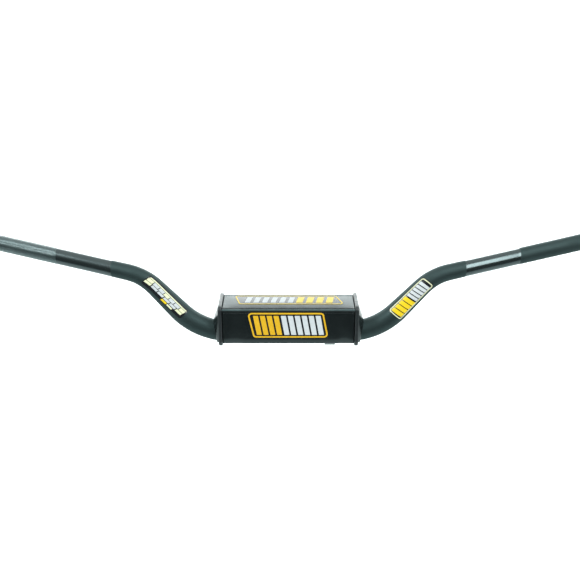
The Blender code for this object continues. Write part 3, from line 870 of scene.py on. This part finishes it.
def pad_outline(offset, start_y):
    """The pad's outline in (y, z), grown by offset, from its slot's front edge round to the rear edge."""
    low_y, low_z = PAD_HALF_DEPTH - BOTTOM_RADIUS, PAD_BOTTOM + BOTTOM_RADIUS
    high_y, high_z = PAD_HALF_DEPTH - TOP_RADIUS, PAD_TOP - TOP_RADIUS
    points = [Vector((-start_y, PAD_BOTTOM - offset))]
    points += arc((-low_y, low_z), BOTTOM_RADIUS + offset, 270, 180)
    points += arc((-high_y, high_z), TOP_RADIUS + offset, 180, 90)
    points += arc((high_y, high_z), TOP_RADIUS + offset, 90, 0)
    points += arc((low_y, low_z), BOTTOM_RADIUS + offset, 0, -90)
    points.append(Vector((start_y, PAD_BOTTOM - offset)))
    return points


def front_profile(crease):
    """The front panel's outline in (y, z): hem, fold, a slanting strip up to a crease, and the flat front."""
    under = 2.2 * MM
    lean = 24
    slope = math.tan(math.radians(lean))
    foot = PAD_BOTTOM + under
    height = PAD_BOTTOM + BOTTOM_RADIUS + crease
    toe = -PAD_HALF_DEPTH + (height - foot) * slope
    points = [Vector((-MOUTH_HALF, PAD_BOTTOM)), *arc((toe + under, foot), under, 270, 180 + lean)]
    blend = 1.2 * MM
    points.append(Vector((-PAD_HALF_DEPTH + blend * slope, height - blend)))
    points.append(Vector((-PAD_HALF_DEPTH + 0.12 * MM, height)))
    points.append(Vector((-PAD_HALF_DEPTH, height + blend)))
    points.append(Vector((-PAD_HALF_DEPTH, SEAM_Z)))
    return points


def crease_rise(x):
    """How far the crease along the front's lower edge wanders up at a place along the pad."""
    pucker = 2.6 * MM * math.exp(-(((x - 0.077) / (7 * MM)) ** 2))
    pucker += 1.3 * MM * math.exp(-(((x + 0.074) / (12 * MM)) ** 2))
    return pucker + 0.35 * MM * noise.noise(Vector((x / (21 * MM), 0.0, 0.0)))


def stuff_cover(obj, held, pressure, most):
    """Lets the foam push a stitched panel out: held points stay, and the others swell by at most a height."""
    group = obj.vertex_groups.new(name="stitched")
    group.add([vert.index for vert in obj.data.vertices if held(vert.co)], 1.0, "REPLACE")
    cloth = obj.modifiers.new("Cloth", "CLOTH")
    for setting, value in CLOTH.items():
        setattr(cloth.settings, setting, value)
    cloth.settings.vertex_group_mass = group.name
    cloth.settings.uniform_pressure_force = pressure
    cloth.settings.effector_weights.gravity = 0.0
    cloth.collision_settings.use_collision = False
    scene = bpy.context.scene
    for number in range(1, SETTLE_FRAMES + 1):
        scene.frame_set(number)
    swollen = obj.evaluated_get(bpy.context.evaluated_depsgraph_get()).to_mesh()
    shifts = [new.co - old.co for new, old in zip(swollen.vertices, obj.data.vertices)]
    obj.modifiers.remove(cloth)
    obj.vertex_groups.clear()
    for vert, shift in zip(obj.data.vertices, shifts):
        if shift.length > 0:
            vert.co += shift.normalized() * most * math.tanh(shift.length / most)
    scene.frame_set(1)


def under_patch(place):
    """True where the loop patches are sewn to the rear panel."""
    return abs(abs(place.x) - STRAP_X) < 12 * MM and place.y > 0 and -1 * MM < place.z < 25 * MM


def over_strap(place):
    """True where a strap passes close under the cover."""
    return abs(abs(place.x) - STRAP_X) < 13 * MM and place.z < PAD_BOTTOM + 4 * MM


class HANDLEBAR_OT_cover_panels(bpy.types.Operator):
    """Cut the front, top and rear panels, and swell them over the foam between their seams"""

    bl_idname = "handlebar.cover_panels"
    bl_label = "Cover Panels"

    def execute(self, context):
        sizes = context.scene.handlebar_sizes
        middle = Vector((0.0, 0.0, (PAD_TOP + PAD_BOTTOM) / 2))

        def front(across, along):
            x = (2 * along - 1) * PAD_HALF_LENGTH
            profile, _ = walk(front_profile(crease_rise(x)))
            point, _ = profile(across)
            return Vector((x, point.x, point.y))

        def rear(across, along):
            place = front(across, along)
            return Vector((place.x, -place.y, place.z))

        def top(across, along):
            return Vector(((2 * along - 1) * PAD_HALF_LENGTH, (2 * across - 1) * SEAM_Y, PAD_TOP))

        seam = 0.4 * MM

        def side_held(co):
            at_hem = abs(co.y) < MOUTH_HALF + 2.5 * MM and co.z < PAD_BOTTOM + 1 * MM
            at_end = abs(co.x) > PAD_HALF_LENGTH - seam
            return at_end or at_hem or co.z > SEAM_Z - seam or under_patch(co) or over_strap(co)

        def top_held(co):
            return abs(co.x) > PAD_HALF_LENGTH - seam or abs(co.y) > SEAM_Y - seam

        # Each panel's shape, its columns, its held points, the foam's pressure, and the most that it swells
        panels = (
            ("front", front, 22, side_held, 1.5, 0.25 * sizes.swell),
            ("rear", rear, 22, side_held, 2.0, 0.7 * sizes.swell),
            ("top", top, 17, top_held, 3.0, sizes.swell),
        )
        for name, place, columns, held, pressure, most in panels:
            shape = mapped_grid(columns, 64, place)
            turn_outward(shape, middle)
            nodes = [f"cover_{name}_panel"]
            panel = finish_piece(f"{name}_cover", shape, "pad", nodes, ["vinyl"], sharp=80)
            stuff_cover(panel, held, pressure, most)
            thicken(panel, sizes.vinyl, smooth=1)
        return {"FINISHED"}


class HANDLEBAR_OT_piping(bpy.types.Operator):
    """Sew a round piping into each of the two top seams"""

    bl_idname = "handlebar.piping"
    bl_label = "Piping"

    def execute(self, context):
        radius = 1.3 * MM
        for side, sign in (("front", -1), ("rear", 1)):
            centre_y = sign * (PAD_HALF_DEPTH - radius)
            centre_z = PAD_TOP - radius

            def place(across, along, y=centre_y, z=centre_z):
                angle = math.tau * across
                span = (2 * along - 1) * PAD_HALF_LENGTH
                swell = radius * (1 + 0.05 * noise.noise(Vector((span / (6 * MM), y, 0.0))))
                return Vector((span, y + swell * math.cos(angle), z + swell * math.sin(angle)))

            shape = mapped_grid(16, 90, place, closed=True)
            close_ends(shape)
            finish_piece("seam_piping_" + side, shape, "pad", ["piping_" + side], ["piping"])
        return {"FINISHED"}


def end_crown(across, up):
    """How far the pad's end stands out from the middle of the bar, at a point of its outline."""
    half = PAD_HALF_DEPTH - 1.2 * MM
    bottom = PAD_BOTTOM + 1.2 * MM
    height = PAD_TOP - 1.2 * MM - bottom
    side = min(1.0, abs(across) / half)
    rise = min(1.0, max(0.0, (up - bottom) / height))
    peak = 0.3
    if rise > peak:
        lift = math.cos(math.pi / 2 * (rise - peak) / (1 - peak)) ** 0.85
    else:
        lift = 1.0 - 0.18 * ((peak - rise) / peak) ** 2
    swell = max(0.0, math.cos(math.pi / 2 * side)) ** 0.7
    return BINDING_START + 0.7 * (BINDING_END - BINDING_START) + END_BULGE * swell * max(0.0, lift)


class HANDLEBAR_OT_end_panels(bpy.types.Operator):
    """Crown a panel over each end of the pad, gathered at its binding, with a mouth for the bar"""

    bl_idname = "handlebar.end_panels"
    bl_label = "End Panels"

    def execute(self, context):
        sizes = context.scene.handlebar_sizes
        hem = PAD_BOTTOM + 1.5 * MM
        spring = MOUTH_ROOF - MOUTH_HALF
        arch = arc((0.0, spring), MOUTH_HALF, 180, 0, 20)
        mouth = [Vector((-MOUTH_HALF, hem)), *arch, Vector((MOUTH_HALF, hem))]
        outer, _ = walk(pad_outline(-1.1 * MM, MOUTH_HALF + 2 * MM))
        inner, _ = walk(mouth)
        for side, sign in SIDES:

            def place(across, along, way=sign):
                near, far = inner(across)[0], outer(across)[0]
                point = near.lerp(far, along)
                gather = 0.35 * MM * along**3 * noise.noise(Vector((across * 46, way * 3.0, 0.0)))
                return Vector((way * (end_crown(point.x, point.y) + gather), point.x, point.y))

            shape = mapped_grid(72, 14, place)
            turn_outward(shape, Vector((0.0, 0.0, 0.02)))
            name, nodes = "crowned_end_" + side, ["end_panel_" + side]
            panel = finish_piece(name, shape, "pad", nodes, ["vinyl"], sharp=80)
            thicken(panel, sizes.vinyl, smooth=1)
        return {"FINISHED"}


def binding_section(across):
    """Section of the folded tape in (x, out), with x from 0 to 1: rounded over the fold, with flat sides."""
    angle = math.tau * across
    power = 0.55
    x = math.copysign(abs(math.cos(angle)) ** power, math.cos(angle))
    out = math.copysign(abs(math.sin(angle)) ** power, math.sin(angle))
    return (x + 1) / 2, (out + 1) / 2


class HANDLEBAR_OT_end_bindings(bpy.types.Operator):
    """Fold a tape over the raw edges at each end of the pad, and stitch it down"""

    bl_idname = "handlebar.end_bindings"
    bl_label = "End Bindings"

    def execute(self, context):
        sizes = context.scene.handlebar_sizes
        rim, _ = walk(pad_outline(0.0, MOUTH_HALF))
        width = BINDING_END - BINDING_START
        depth = BINDING_PROUD + 1.2 * MM
        for side, sign in SIDES:

            def place(across, along, way=sign):
                point, direction = rim(along)
                out = Vector((-direction.y, direction.x))
                x, height = binding_section(across)
                pinch = 1 + 0.05 * noise.noise(Vector((along * 60, across * 2, way * 5.0)))
                lift = -1.2 * MM + depth * height * pinch
                spot = point + out * lift
                return Vector((way * (BINDING_START + width * x), spot.x, spot.y))

            shape = mapped_grid(28, 110, place, closed=True)
            close_ends(shape)
            name, nodes = "folded_binding_" + side, ["end_binding_" + side]
            finish_piece(name, shape, "pad", nodes, ["binding"], sharp=60)
            stitches = bmesh.new()
            rows = []
            for step in range(111):
                point, direction = rim(0.02 + 0.96 * step / 110)
                out = Vector((-direction.y, direction.x))
                normal = Vector((-0.55 * sign, 0.85 * out.x, 0.85 * out.y))
                lift = 0.86 * BINDING_PROUD
                x = sign * (BINDING_START + 0.14 * width)
                rows.append((Vector((x, point.x + out.x * lift, point.y + out.y * lift)), normal))
            sew(stitches, rows, sizes)
            finish_piece("binding_stitches_" + side, stitches, "pad", [], ["thread"])
        return {"FINISHED"}


class HANDLEBAR_OT_foam_block(bpy.types.Operator):
    """Cut the foam block with the channel that the bar lies in"""

    bl_idname = "handlebar.foam_block"
    bl_label = "Foam Block"

    def execute(self, context):
        low_y, low_z = PAD_HALF_DEPTH - BOTTOM_RADIUS, PAD_BOTTOM + BOTTOM_RADIUS
        corner = FOAM_TOP_RADIUS + FOAM_SKIN
        high_y, high_z = PAD_HALF_DEPTH - corner, PAD_TOP - corner

        def outline(half, roof):
            points = arc((-low_y, low_z), BOTTOM_RADIUS - FOAM_SKIN, 270, 180)
            points += arc((-high_y, high_z), FOAM_TOP_RADIUS, 180, 90)
            points += arc((high_y, high_z), FOAM_TOP_RADIUS, 90, 0)
            points += arc((low_y, low_z), BOTTOM_RADIUS - FOAM_SKIN, 0, -90)
            points += [Vector((half, PAD_BOTTOM + FOAM_SKIN)), *arc((0.0, roof - half), half, 0, 180, 24)]
            points += [Vector((-half, PAD_BOTTOM + FOAM_SKIN)), points[0]]
            return points

        stops = [-FOAM_HALF_LENGTH, -MOUTH_START, -MOUTH_START + 1 * MM]
        stops += spaced(-MOUTH_START + 1 * MM, MOUTH_START - 1 * MM, 6 * MM)[1:]
        stops += [MOUTH_START, FOAM_HALF_LENGTH]
        wide = outline(MOUTH_HALF, MOUTH_ROOF)
        snug = outline(SLOT_HALF, SLOT_HALF)

        def place(across, along):
            x = stops[round(along * (len(stops) - 1))]
            index = round(across * (len(snug) - 1))
            point = wide[index] if abs(x) >= MOUTH_START else snug[index]
            rough = 0.12 * MM * noise.noise(Vector((x, point.x, point.y)) / (4 * MM))
            return Vector((x, point.x * (1 - rough / PAD_HALF_DEPTH), point.y))

        shape = mapped_grid(len(snug) - 1, len(stops) - 1, place, closed=True)
        close_ends(shape)
        bmesh.ops.triangulate(shape, faces=[face for face in shape.faces if len(face.verts) > 4])
        foam = finish_piece("foam_core", shape, "pad", ["pad_foam_block"], ["foam"], sharp=50)
        return {"FINISHED"}


class HANDLEBAR_OT_badges(bpy.types.Operator):
    """Lay a printed film on the front and on the top of the pad"""

    bl_idname = "handlebar.badges"
    bl_label = "Badges"

    def execute(self, context):
        sizes = context.scene.handlebar_sizes
        front_tree = surface_of(bpy.data.objects["front_cover"])
        top_tree = surface_of(bpy.data.objects["top_cover"])

        def on_front(lift):
            def place(across, up):
                hit, _ = drop(front_tree, Vector((across, -0.1, up)), Vector((0.0, 1.0, 0.0)))
                return hit + Vector((0.0, -lift, 0.0))

            return place

        def on_top(lift):
            def place(across, back):
                hit, _ = drop(top_tree, Vector((across, back, 0.1)), Vector((0.0, 0.0, -1.0)))
                return hit + Vector((0.0, 0.0, lift))

            return place

        outline = [(-0.0558, 0.0402), (-0.0478, 0.0028), (0.0547, 0.0028), (0.0475, 0.0402)]
        blocks = (
            (1, slanted_bars(-0.0430, -0.0085, 0.0070, 0.0358, 4, 0.0024, -0.0050)),
            (2, slanted_bars(-0.0054, 0.0484, 0.0070, 0.0358, 6, 0.0025, -0.0050)),
        )
        shape = self.badge(on_front, outline, 5 * MM, 2.2 * MM, blocks, sizes.film)
        inks = ["ground", "amber", "white"]
        finish_piece("front_badge", shape, "pad", ["badge_front"], inks, sharp=40)
        outline = [(-0.0670, -0.0090), (0.0760, -0.0090), (0.0660, 0.0190), (-0.0750, 0.0190)]
        blocks = (
            (2, slanted_bars(-0.0600, 0.0060, -0.0045, 0.0140, 6, 0.0045, 0.0035)),
            (1, slanted_bars(0.0100, 0.0600, -0.0045, 0.0140, 4, 0.0045, 0.0035)),
        )
        shape = self.badge(on_top, outline, 4 * MM, 1.6 * MM, blocks, sizes.film)
        # The top badge takes the darkened copies of the inks: painted shade on the pad's top.
        inks = ["ground", "top_yellow_with_painted_shade", "top_white_with_painted_shade"]
        finish_piece("top_badge", shape, "pad", ["badge_top"], inks, sharp=40)
        return {"FINISHED"}

    def badge(self, surface, outline, radius, line, blocks, film):
        """A film with a line along its rounded outline and blocks of bars, each block in its own layer."""
        low = 0.1 * MM
        ink = surface(low + film)
        cuts = [cut_film(outline, surface(low), film, 0, radius=radius)]
        cuts.append(cut_film(outline, ink, INK, 1, radius, line))
        cuts += [cut_film(bar, ink, INK, layer) for layer, bars in blocks for bar in bars]
        return gather(cuts)


class HANDLEBAR_OT_seam_stitches(bpy.types.Operator):
    """Topstitch the panels beside the piping and along the hems"""

    bl_idname = "handlebar.seam_stitches"
    bl_label = "Seam Stitches"

    def execute(self, context):
        sizes = context.scene.handlebar_sizes
        trees = surface_of(*(bpy.data.objects[name + "_cover"] for name in ("front", "top", "rear")))
        inset = 2.6 * MM
        reach = PAD_HALF_LENGTH - 1.5 * MM
        hem_reach = STRAP_X - 15 * MM
        seam = spaced(-reach, reach, 2 * MM)
        down = Vector((0.0, 0.0, -1.0))
        rows = []
        for sign in (-1, 1):
            inward = Vector((0.0, -sign, 0.0))
            rows.append([(Vector((x, sign * 0.1, SEAM_Z - inset)), inward) for x in seam])
            rows.append([(Vector((x, sign * (SEAM_Y - inset), 0.1)), down) for x in seam])
            hem_y = sign * (MOUTH_HALF + 1.6 * MM)
            rows.append([(Vector((x, hem_y, -0.1)), -down) for x in spaced(-hem_reach, hem_reach, 2 * MM)])
        shape = bmesh.new()
        for row in rows:
            route = [drop(trees, start, direction) for start, direction in row]
            sew(shape, route, sizes)
        finish_piece("seam_stitches", shape, "pad", [], ["thread"])
        return {"FINISHED"}


class HANDLEBAR_OT_hem_label(bpy.types.Operator):
    """Fold the small woven tab that hangs from the front hem"""

    bl_idname = "handlebar.hem_label"
    bl_label = "Hem Label"

    def execute(self, context):
        low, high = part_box("hem_label")
        middle_y = (low.y + high.y) / 2
        half = (high.y - low.y) / 2
        wall = 0.55 * MM
        profile = [Vector((middle_y - half, high.z))]
        profile += arc((middle_y, low.z + half), half, 180, 360, 10)
        profile.append(Vector((middle_y + half, high.z)))
        fold, _ = walk(profile)

        def place(across, along):
            point, _ = fold(across)
            return Vector((low.x + (high.x - low.x) * along, point.x, point.y))

        shape = mapped_grid(18, 24, place)
        turn_outward(shape, Vector(((low.x + high.x) / 2, middle_y, high.z)))
        label = finish_piece("woven_tab", shape, "pad", ["hem_label"], ["webbing"], sharp=60)
        thicken(label, wall)
        return {"FINISHED"}


# ---- Straps ----


def strap_path():
    """Middle line of a closed strap in (y, z): from the front hem round below the bar and up the rear."""
    hem = PAD_BOTTOM - GAP - STRAP_THICK / 2
    points = [Vector((STRAP_FRONT, hem + 0.1 * MM)), *arc((0.0, 0.0), STRAP_WRAP, 228, 300, 18)]
    points.append(Vector((MOUTH_HALF + 0.7 * MM, hem - 1.2 * MM)))
    points += arc((STRAP_REAR - STRAP_CORNER, hem - 0.2 * MM + STRAP_CORNER), STRAP_CORNER, -90, 0, 10)
    points.append(Vector((STRAP_REAR, STRAP_TOP)))
    return points


class HANDLEBAR_OT_straps(bpy.types.Operator):
    """Cut the two straps with rounded tips, and stitch their edges"""

    bl_idname = "handlebar.straps"
    bl_label = "Straps"

    def execute(self, context):
        sizes = context.scene.handlebar_sizes
        path, length = walk(strap_path())
        half = STRAP_HALF_WIDTH
        for side, sign in SIDES:

            def place(across, along, way=sign):
                point, direction = path(along)
                out = Vector((direction.y, -direction.x))
                x, height = binding_section(across)
                tip = max(0.0, (along - 1) * length + 5 * MM) / (5 * MM)
                width = half * math.sqrt(1 - 0.75 * tip**2)
                lift = (height - 0.5) * STRAP_THICK
                spot = point + out * lift
                return Vector((way * STRAP_X + (2 * x - 1) * width, spot.x, spot.y))

            shape = mapped_grid(36, 70, place, closed=True)
            close_ends(shape)
            body, name = side + "_strap", "vinyl_strap_" + side
            finish_piece(name, shape, body, ["strap_" + side], ["binding"], sharp=60)
            stitches = bmesh.new()
            for edge in (-1, 1):
                row = []
                for step in range(90):
                    point, direction = path(0.03 + 0.9 * step / 89)
                    out = Vector((direction.y, -direction.x))
                    lift = STRAP_THICK / 2
                    x = sign * STRAP_X + edge * (half - 2 * MM)
                    normal = Vector((0.0, out.x, out.y))
                    row.append((Vector((x, point.x, point.y)) + normal * lift, normal))
                sew(stitches, row, sizes)
            finish_piece("strap_stitches_" + side, stitches, body, [], ["thread"])
        return {"FINISHED"}


class HANDLEBAR_OT_fastener_patches(bpy.types.Operator):
    """Make the hook and loop patches, each with its field of hooks or of loops"""

    bl_idname = "handlebar.fastener_patches"
    bl_label = "Fastener Patches"

    def execute(self, context):
        for side, sign in SIDES:
            for kind, body, facing in (("hook", side + "_strap", -1), ("loop", "pad", 1)):
                low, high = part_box(f"{kind}_patch_{side}")
                shape = bmesh.new()
                bmesh.ops.create_cube(shape, size=1.0)
                pile = 0.5 * MM
                hook, loop = (0.35 * MM, 0.9 * pile, 0.35 * MM), (0.6 * MM, 0.8 * pile, 0.5 * MM)
                spread = hook if kind == "hook" else loop
                inner = high.y - pile if facing > 0 else low.y + pile
                outer = low.y if facing > 0 else high.y
                corner = Vector((low.x, min(inner, outer), low.z))
                span = Vector((high.x, max(inner, outer), high.z)) - corner
                bmesh.ops.scale(shape, vec=span, verts=shape.verts)
                bmesh.ops.translate(shape, vec=corner + span / 2, verts=shape.verts)
                ends = ((edge, *(vert.co.y for vert in edge.verts)) for edge in shape.edges)
                upright = [edge for edge, near, far in ends if abs(near - far) > pile / 2]
                round_off = {"affect": "EDGES", "segments": 5, "profile": 0.5, "material": -1}
                bmesh.ops.bevel(shape, geom=upright, offset=2 * MM, **round_off)
                pitch = 1.6 * MM
                for x in spaced(low.x + 1.5 * MM, high.x - 1.5 * MM, pitch):
                    for z in spaced(low.z + 1.5 * MM, high.z - 1.5 * MM, pitch):
                        shift = 0.3 * MM * noise.noise(Vector((x, 0.0, z)) * 900)
                        place = Vector((x + shift, inner, z - shift))
                        matrix = Matrix.Translation(place) @ Matrix.Diagonal((*spread, 1.0))
                        bmesh.ops.create_icosphere(shape, subdivisions=1, radius=1.0, matrix=matrix)
                nodes = [f"{kind}_patch_{side}"]
                finish_piece(f"{kind}_field_{side}", shape, body, nodes, [kind], sharp=50)
        return {"FINISHED"}


# ---- Stage ----


class HANDLEBAR_OT_stage(bpy.types.Operator):
    """Set the pale floor, the soft lights and the camera"""

    bl_idname = "handlebar.stage"
    bl_label = "Stage"

    def execute(self, context):
        self.floor()
        self.cards()
        self.lights()
        self.world()
        self.camera()
        context.scene.view_settings.view_transform = "Standard"
        return {"FINISHED"}

    def sheet(self, name, half_x, low, high, finish):
        """A flat sheet between two edges, given in (y, z)."""
        shape = bmesh.new()
        bmesh.ops.create_grid(shape, x_segments=1, y_segments=1, size=1.0)
        for vert in shape.verts:
            vert.co = (vert.co.x * half_x, *(high if vert.co.y > 0 else low))
        mesh = bpy.data.meshes.new(name)
        shape.to_mesh(mesh)
        shape.free()
        obj = bpy.data.objects.new(name, mesh)
        bpy.context.scene.collection.objects.link(obj)
        mesh.materials.append(finish)
        return obj

    def floor(self):
        """Wide matte paper, a pale grey white."""
        paper, _, _ = new_material("seamless_floor_paper", base_color=linear("fbfcfc"), roughness=0.9)
        self.sheet("pale_floor", 30.0, (-30.0, FLOOR_Z), (30.0, FLOOR_Z), paper)

    def cards(self):
        """Flags that only reflections see: they keep the bar's belly, its front and the pad's front dark."""
        level = FLOOR_Z + 5 * MM
        dark, _, _ = new_material("dyed_cotton_flag_dark", base_color=linear("353d3d"), roughness=0.9)
        grey, _, _ = new_material("dyed_cotton_flag_grey", base_color=linear("b4bcbc"), roughness=0.9)
        cards = [self.sheet("dark_flag", 3.0, (-4.0, level), (-0.45, level), dark)]
        cards.append(self.sheet("grey_flag", 3.0, (-0.45, level), (0.55, level), grey))
        cards.append(self.sheet("front_flag", 7.0, (-3.0, -0.29), (-3.0, 5.2), self.lit_cotton()))
        for card in cards:
            card.visible_camera = False
            card.visible_diffuse = False
            card.visible_shadow = False

    def lit_cotton(self):
        """Cotton that glows more towards its top, like the dim side of a studio."""
        cloth, tree, shader = new_material(
            "lit_cotton_flag",
            base_color=(0.0, 0.0, 0.0),
            specular_ior_level=0.0,
            emission_color=(0.9, 1.0, 1.0, 1.0),
        )
        place = add_node(tree, "TexCoord").outputs["Object"]
        up = add_node(tree, "SeparateXYZ", inputs={0: place}).outputs["Z"]
        glow = {0: up, 1: 0.7, 2: 5.0, 3: 0.16, 4: 1.0}
        rise = add_node(tree, "MapRange", {"interpolation_type": "SMOOTHSTEP"}, glow)
        feed(tree, shader, emission_strength=rise)
        return cloth

    def softbox(self, name, place, aim, width, height, power):
        data = bpy.data.lights.new(name, "AREA")
        data.shape = "RECTANGLE"
        data.size = width
        data.size_y = height
        data.energy = power
        data.color = COOL_WHITE
        lamp = bpy.data.objects.new(name, data)
        lamp.location = place
        lamp.rotation_euler = (Vector(aim) - Vector(place)).to_track_quat("-Z", "Y").to_euler()
        lamp.visible_camera = False
        bpy.context.scene.collection.objects.link(lamp)

    def lights(self):
        self.softbox("left_softbox", (-1.12, -0.62, 1.20), (-0.36, 0.04, 0.1), 0.44, 0.50, 11.0)
        self.softbox("right_softbox", (0.65, -0.82, 1.08), (0.28, 0.03, 0.1), 0.30, 1.15, 8.2)
        self.softbox("back_softbox", (0.0, 1.70, 0.54), (0.0, 0.0, 0.05), 2.8, 0.70, 24.0)
        data = bpy.data.lights.new("overhead_light", "SUN")
        data.energy = 1.4
        data.angle = math.radians(60)
        data.color = (0.92, 1.0, 1.0)
        lamp = bpy.data.objects.new("overhead_light", data)
        lamp.visible_glossy = False
        bpy.context.scene.collection.objects.link(lamp)

    def world(self):
        """An even white room."""
        world = bpy.data.worlds.new("soft_room")
        world.use_nodes = True
        bpy.context.scene.world = world
        background = world.node_tree.nodes["Background"]
        background.inputs["Color"].default_value = (*COOL_WHITE, 1.0)
        background.inputs["Strength"].default_value = 1.03

    def camera(self):
        """Looks down at the bar by 24 degrees, from 1.1 m in front of its middle."""
        tilt = math.radians(24)
        away = 1.1
        target = Vector((0.0021, 0.0, 0.0627))
        forward = Vector((0.0, math.cos(tilt), -math.sin(tilt)))
        data = bpy.data.cameras.new("camera")
        data.sensor_width = 36.0
        data.lens = 50.02
        camera = bpy.data.objects.new("camera", data)
        camera.location = target - forward * away
        camera.rotation_euler = forward.to_track_quat("-Z", "Y").to_euler()
        bpy.context.scene.collection.objects.link(camera)
        bpy.context.scene.camera = camera


PIECES = (
    HANDLEBAR_OT_stage,
    HANDLEBAR_OT_bar_tube,
    HANDLEBAR_OT_end_plugs,
    HANDLEBAR_OT_riser_decals,
    HANDLEBAR_OT_foam_block,
    HANDLEBAR_OT_cover_panels,
    HANDLEBAR_OT_piping,
    HANDLEBAR_OT_end_panels,
    HANDLEBAR_OT_end_bindings,
    HANDLEBAR_OT_badges,
    HANDLEBAR_OT_seam_stitches,
    HANDLEBAR_OT_hem_label,
    HANDLEBAR_OT_straps,
    HANDLEBAR_OT_fastener_patches,
)


class HANDLEBAR_PT_pieces(bpy.types.Panel):
    """Lists the handlebar's sizes, colours and pieces"""

    bl_label = "Handlebar"
    bl_idname = "HANDLEBAR_PT_pieces"
    bl_space_type = "VIEW_3D"
    bl_region_type = "UI"
    bl_category = "Handlebar"

    def draw(self, context):
        layout = self.layout
        for group in (context.scene.handlebar_sizes, context.scene.handlebar_colours):
            box = layout.box()
            for name in group.bl_rna.properties.keys():
                if name not in ("rna_type", "name"):
                    box.prop(group, name)
        for piece in PIECES:
            layout.operator(piece.bl_idname)


CLASSES = (HandlebarSizes, HandlebarColours, *PIECES, HANDLEBAR_PT_pieces)


def register():
    for cls in CLASSES:
        bpy.utils.register_class(cls)
    bpy.types.Scene.handlebar_sizes = PointerProperty(type=HandlebarSizes)
    bpy.types.Scene.handlebar_colours = PointerProperty(type=HandlebarColours)


def unregister():
    del bpy.types.Scene.handlebar_colours
    del bpy.types.Scene.handlebar_sizes
    for cls in reversed(CLASSES):
        bpy.utils.unregister_class(cls)


def main():
    register()
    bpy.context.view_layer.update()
    for piece in PIECES:
        getattr(bpy.ops.handlebar, piece.bl_idname.split(".")[1])()


if __name__ == "__main__":
    main()
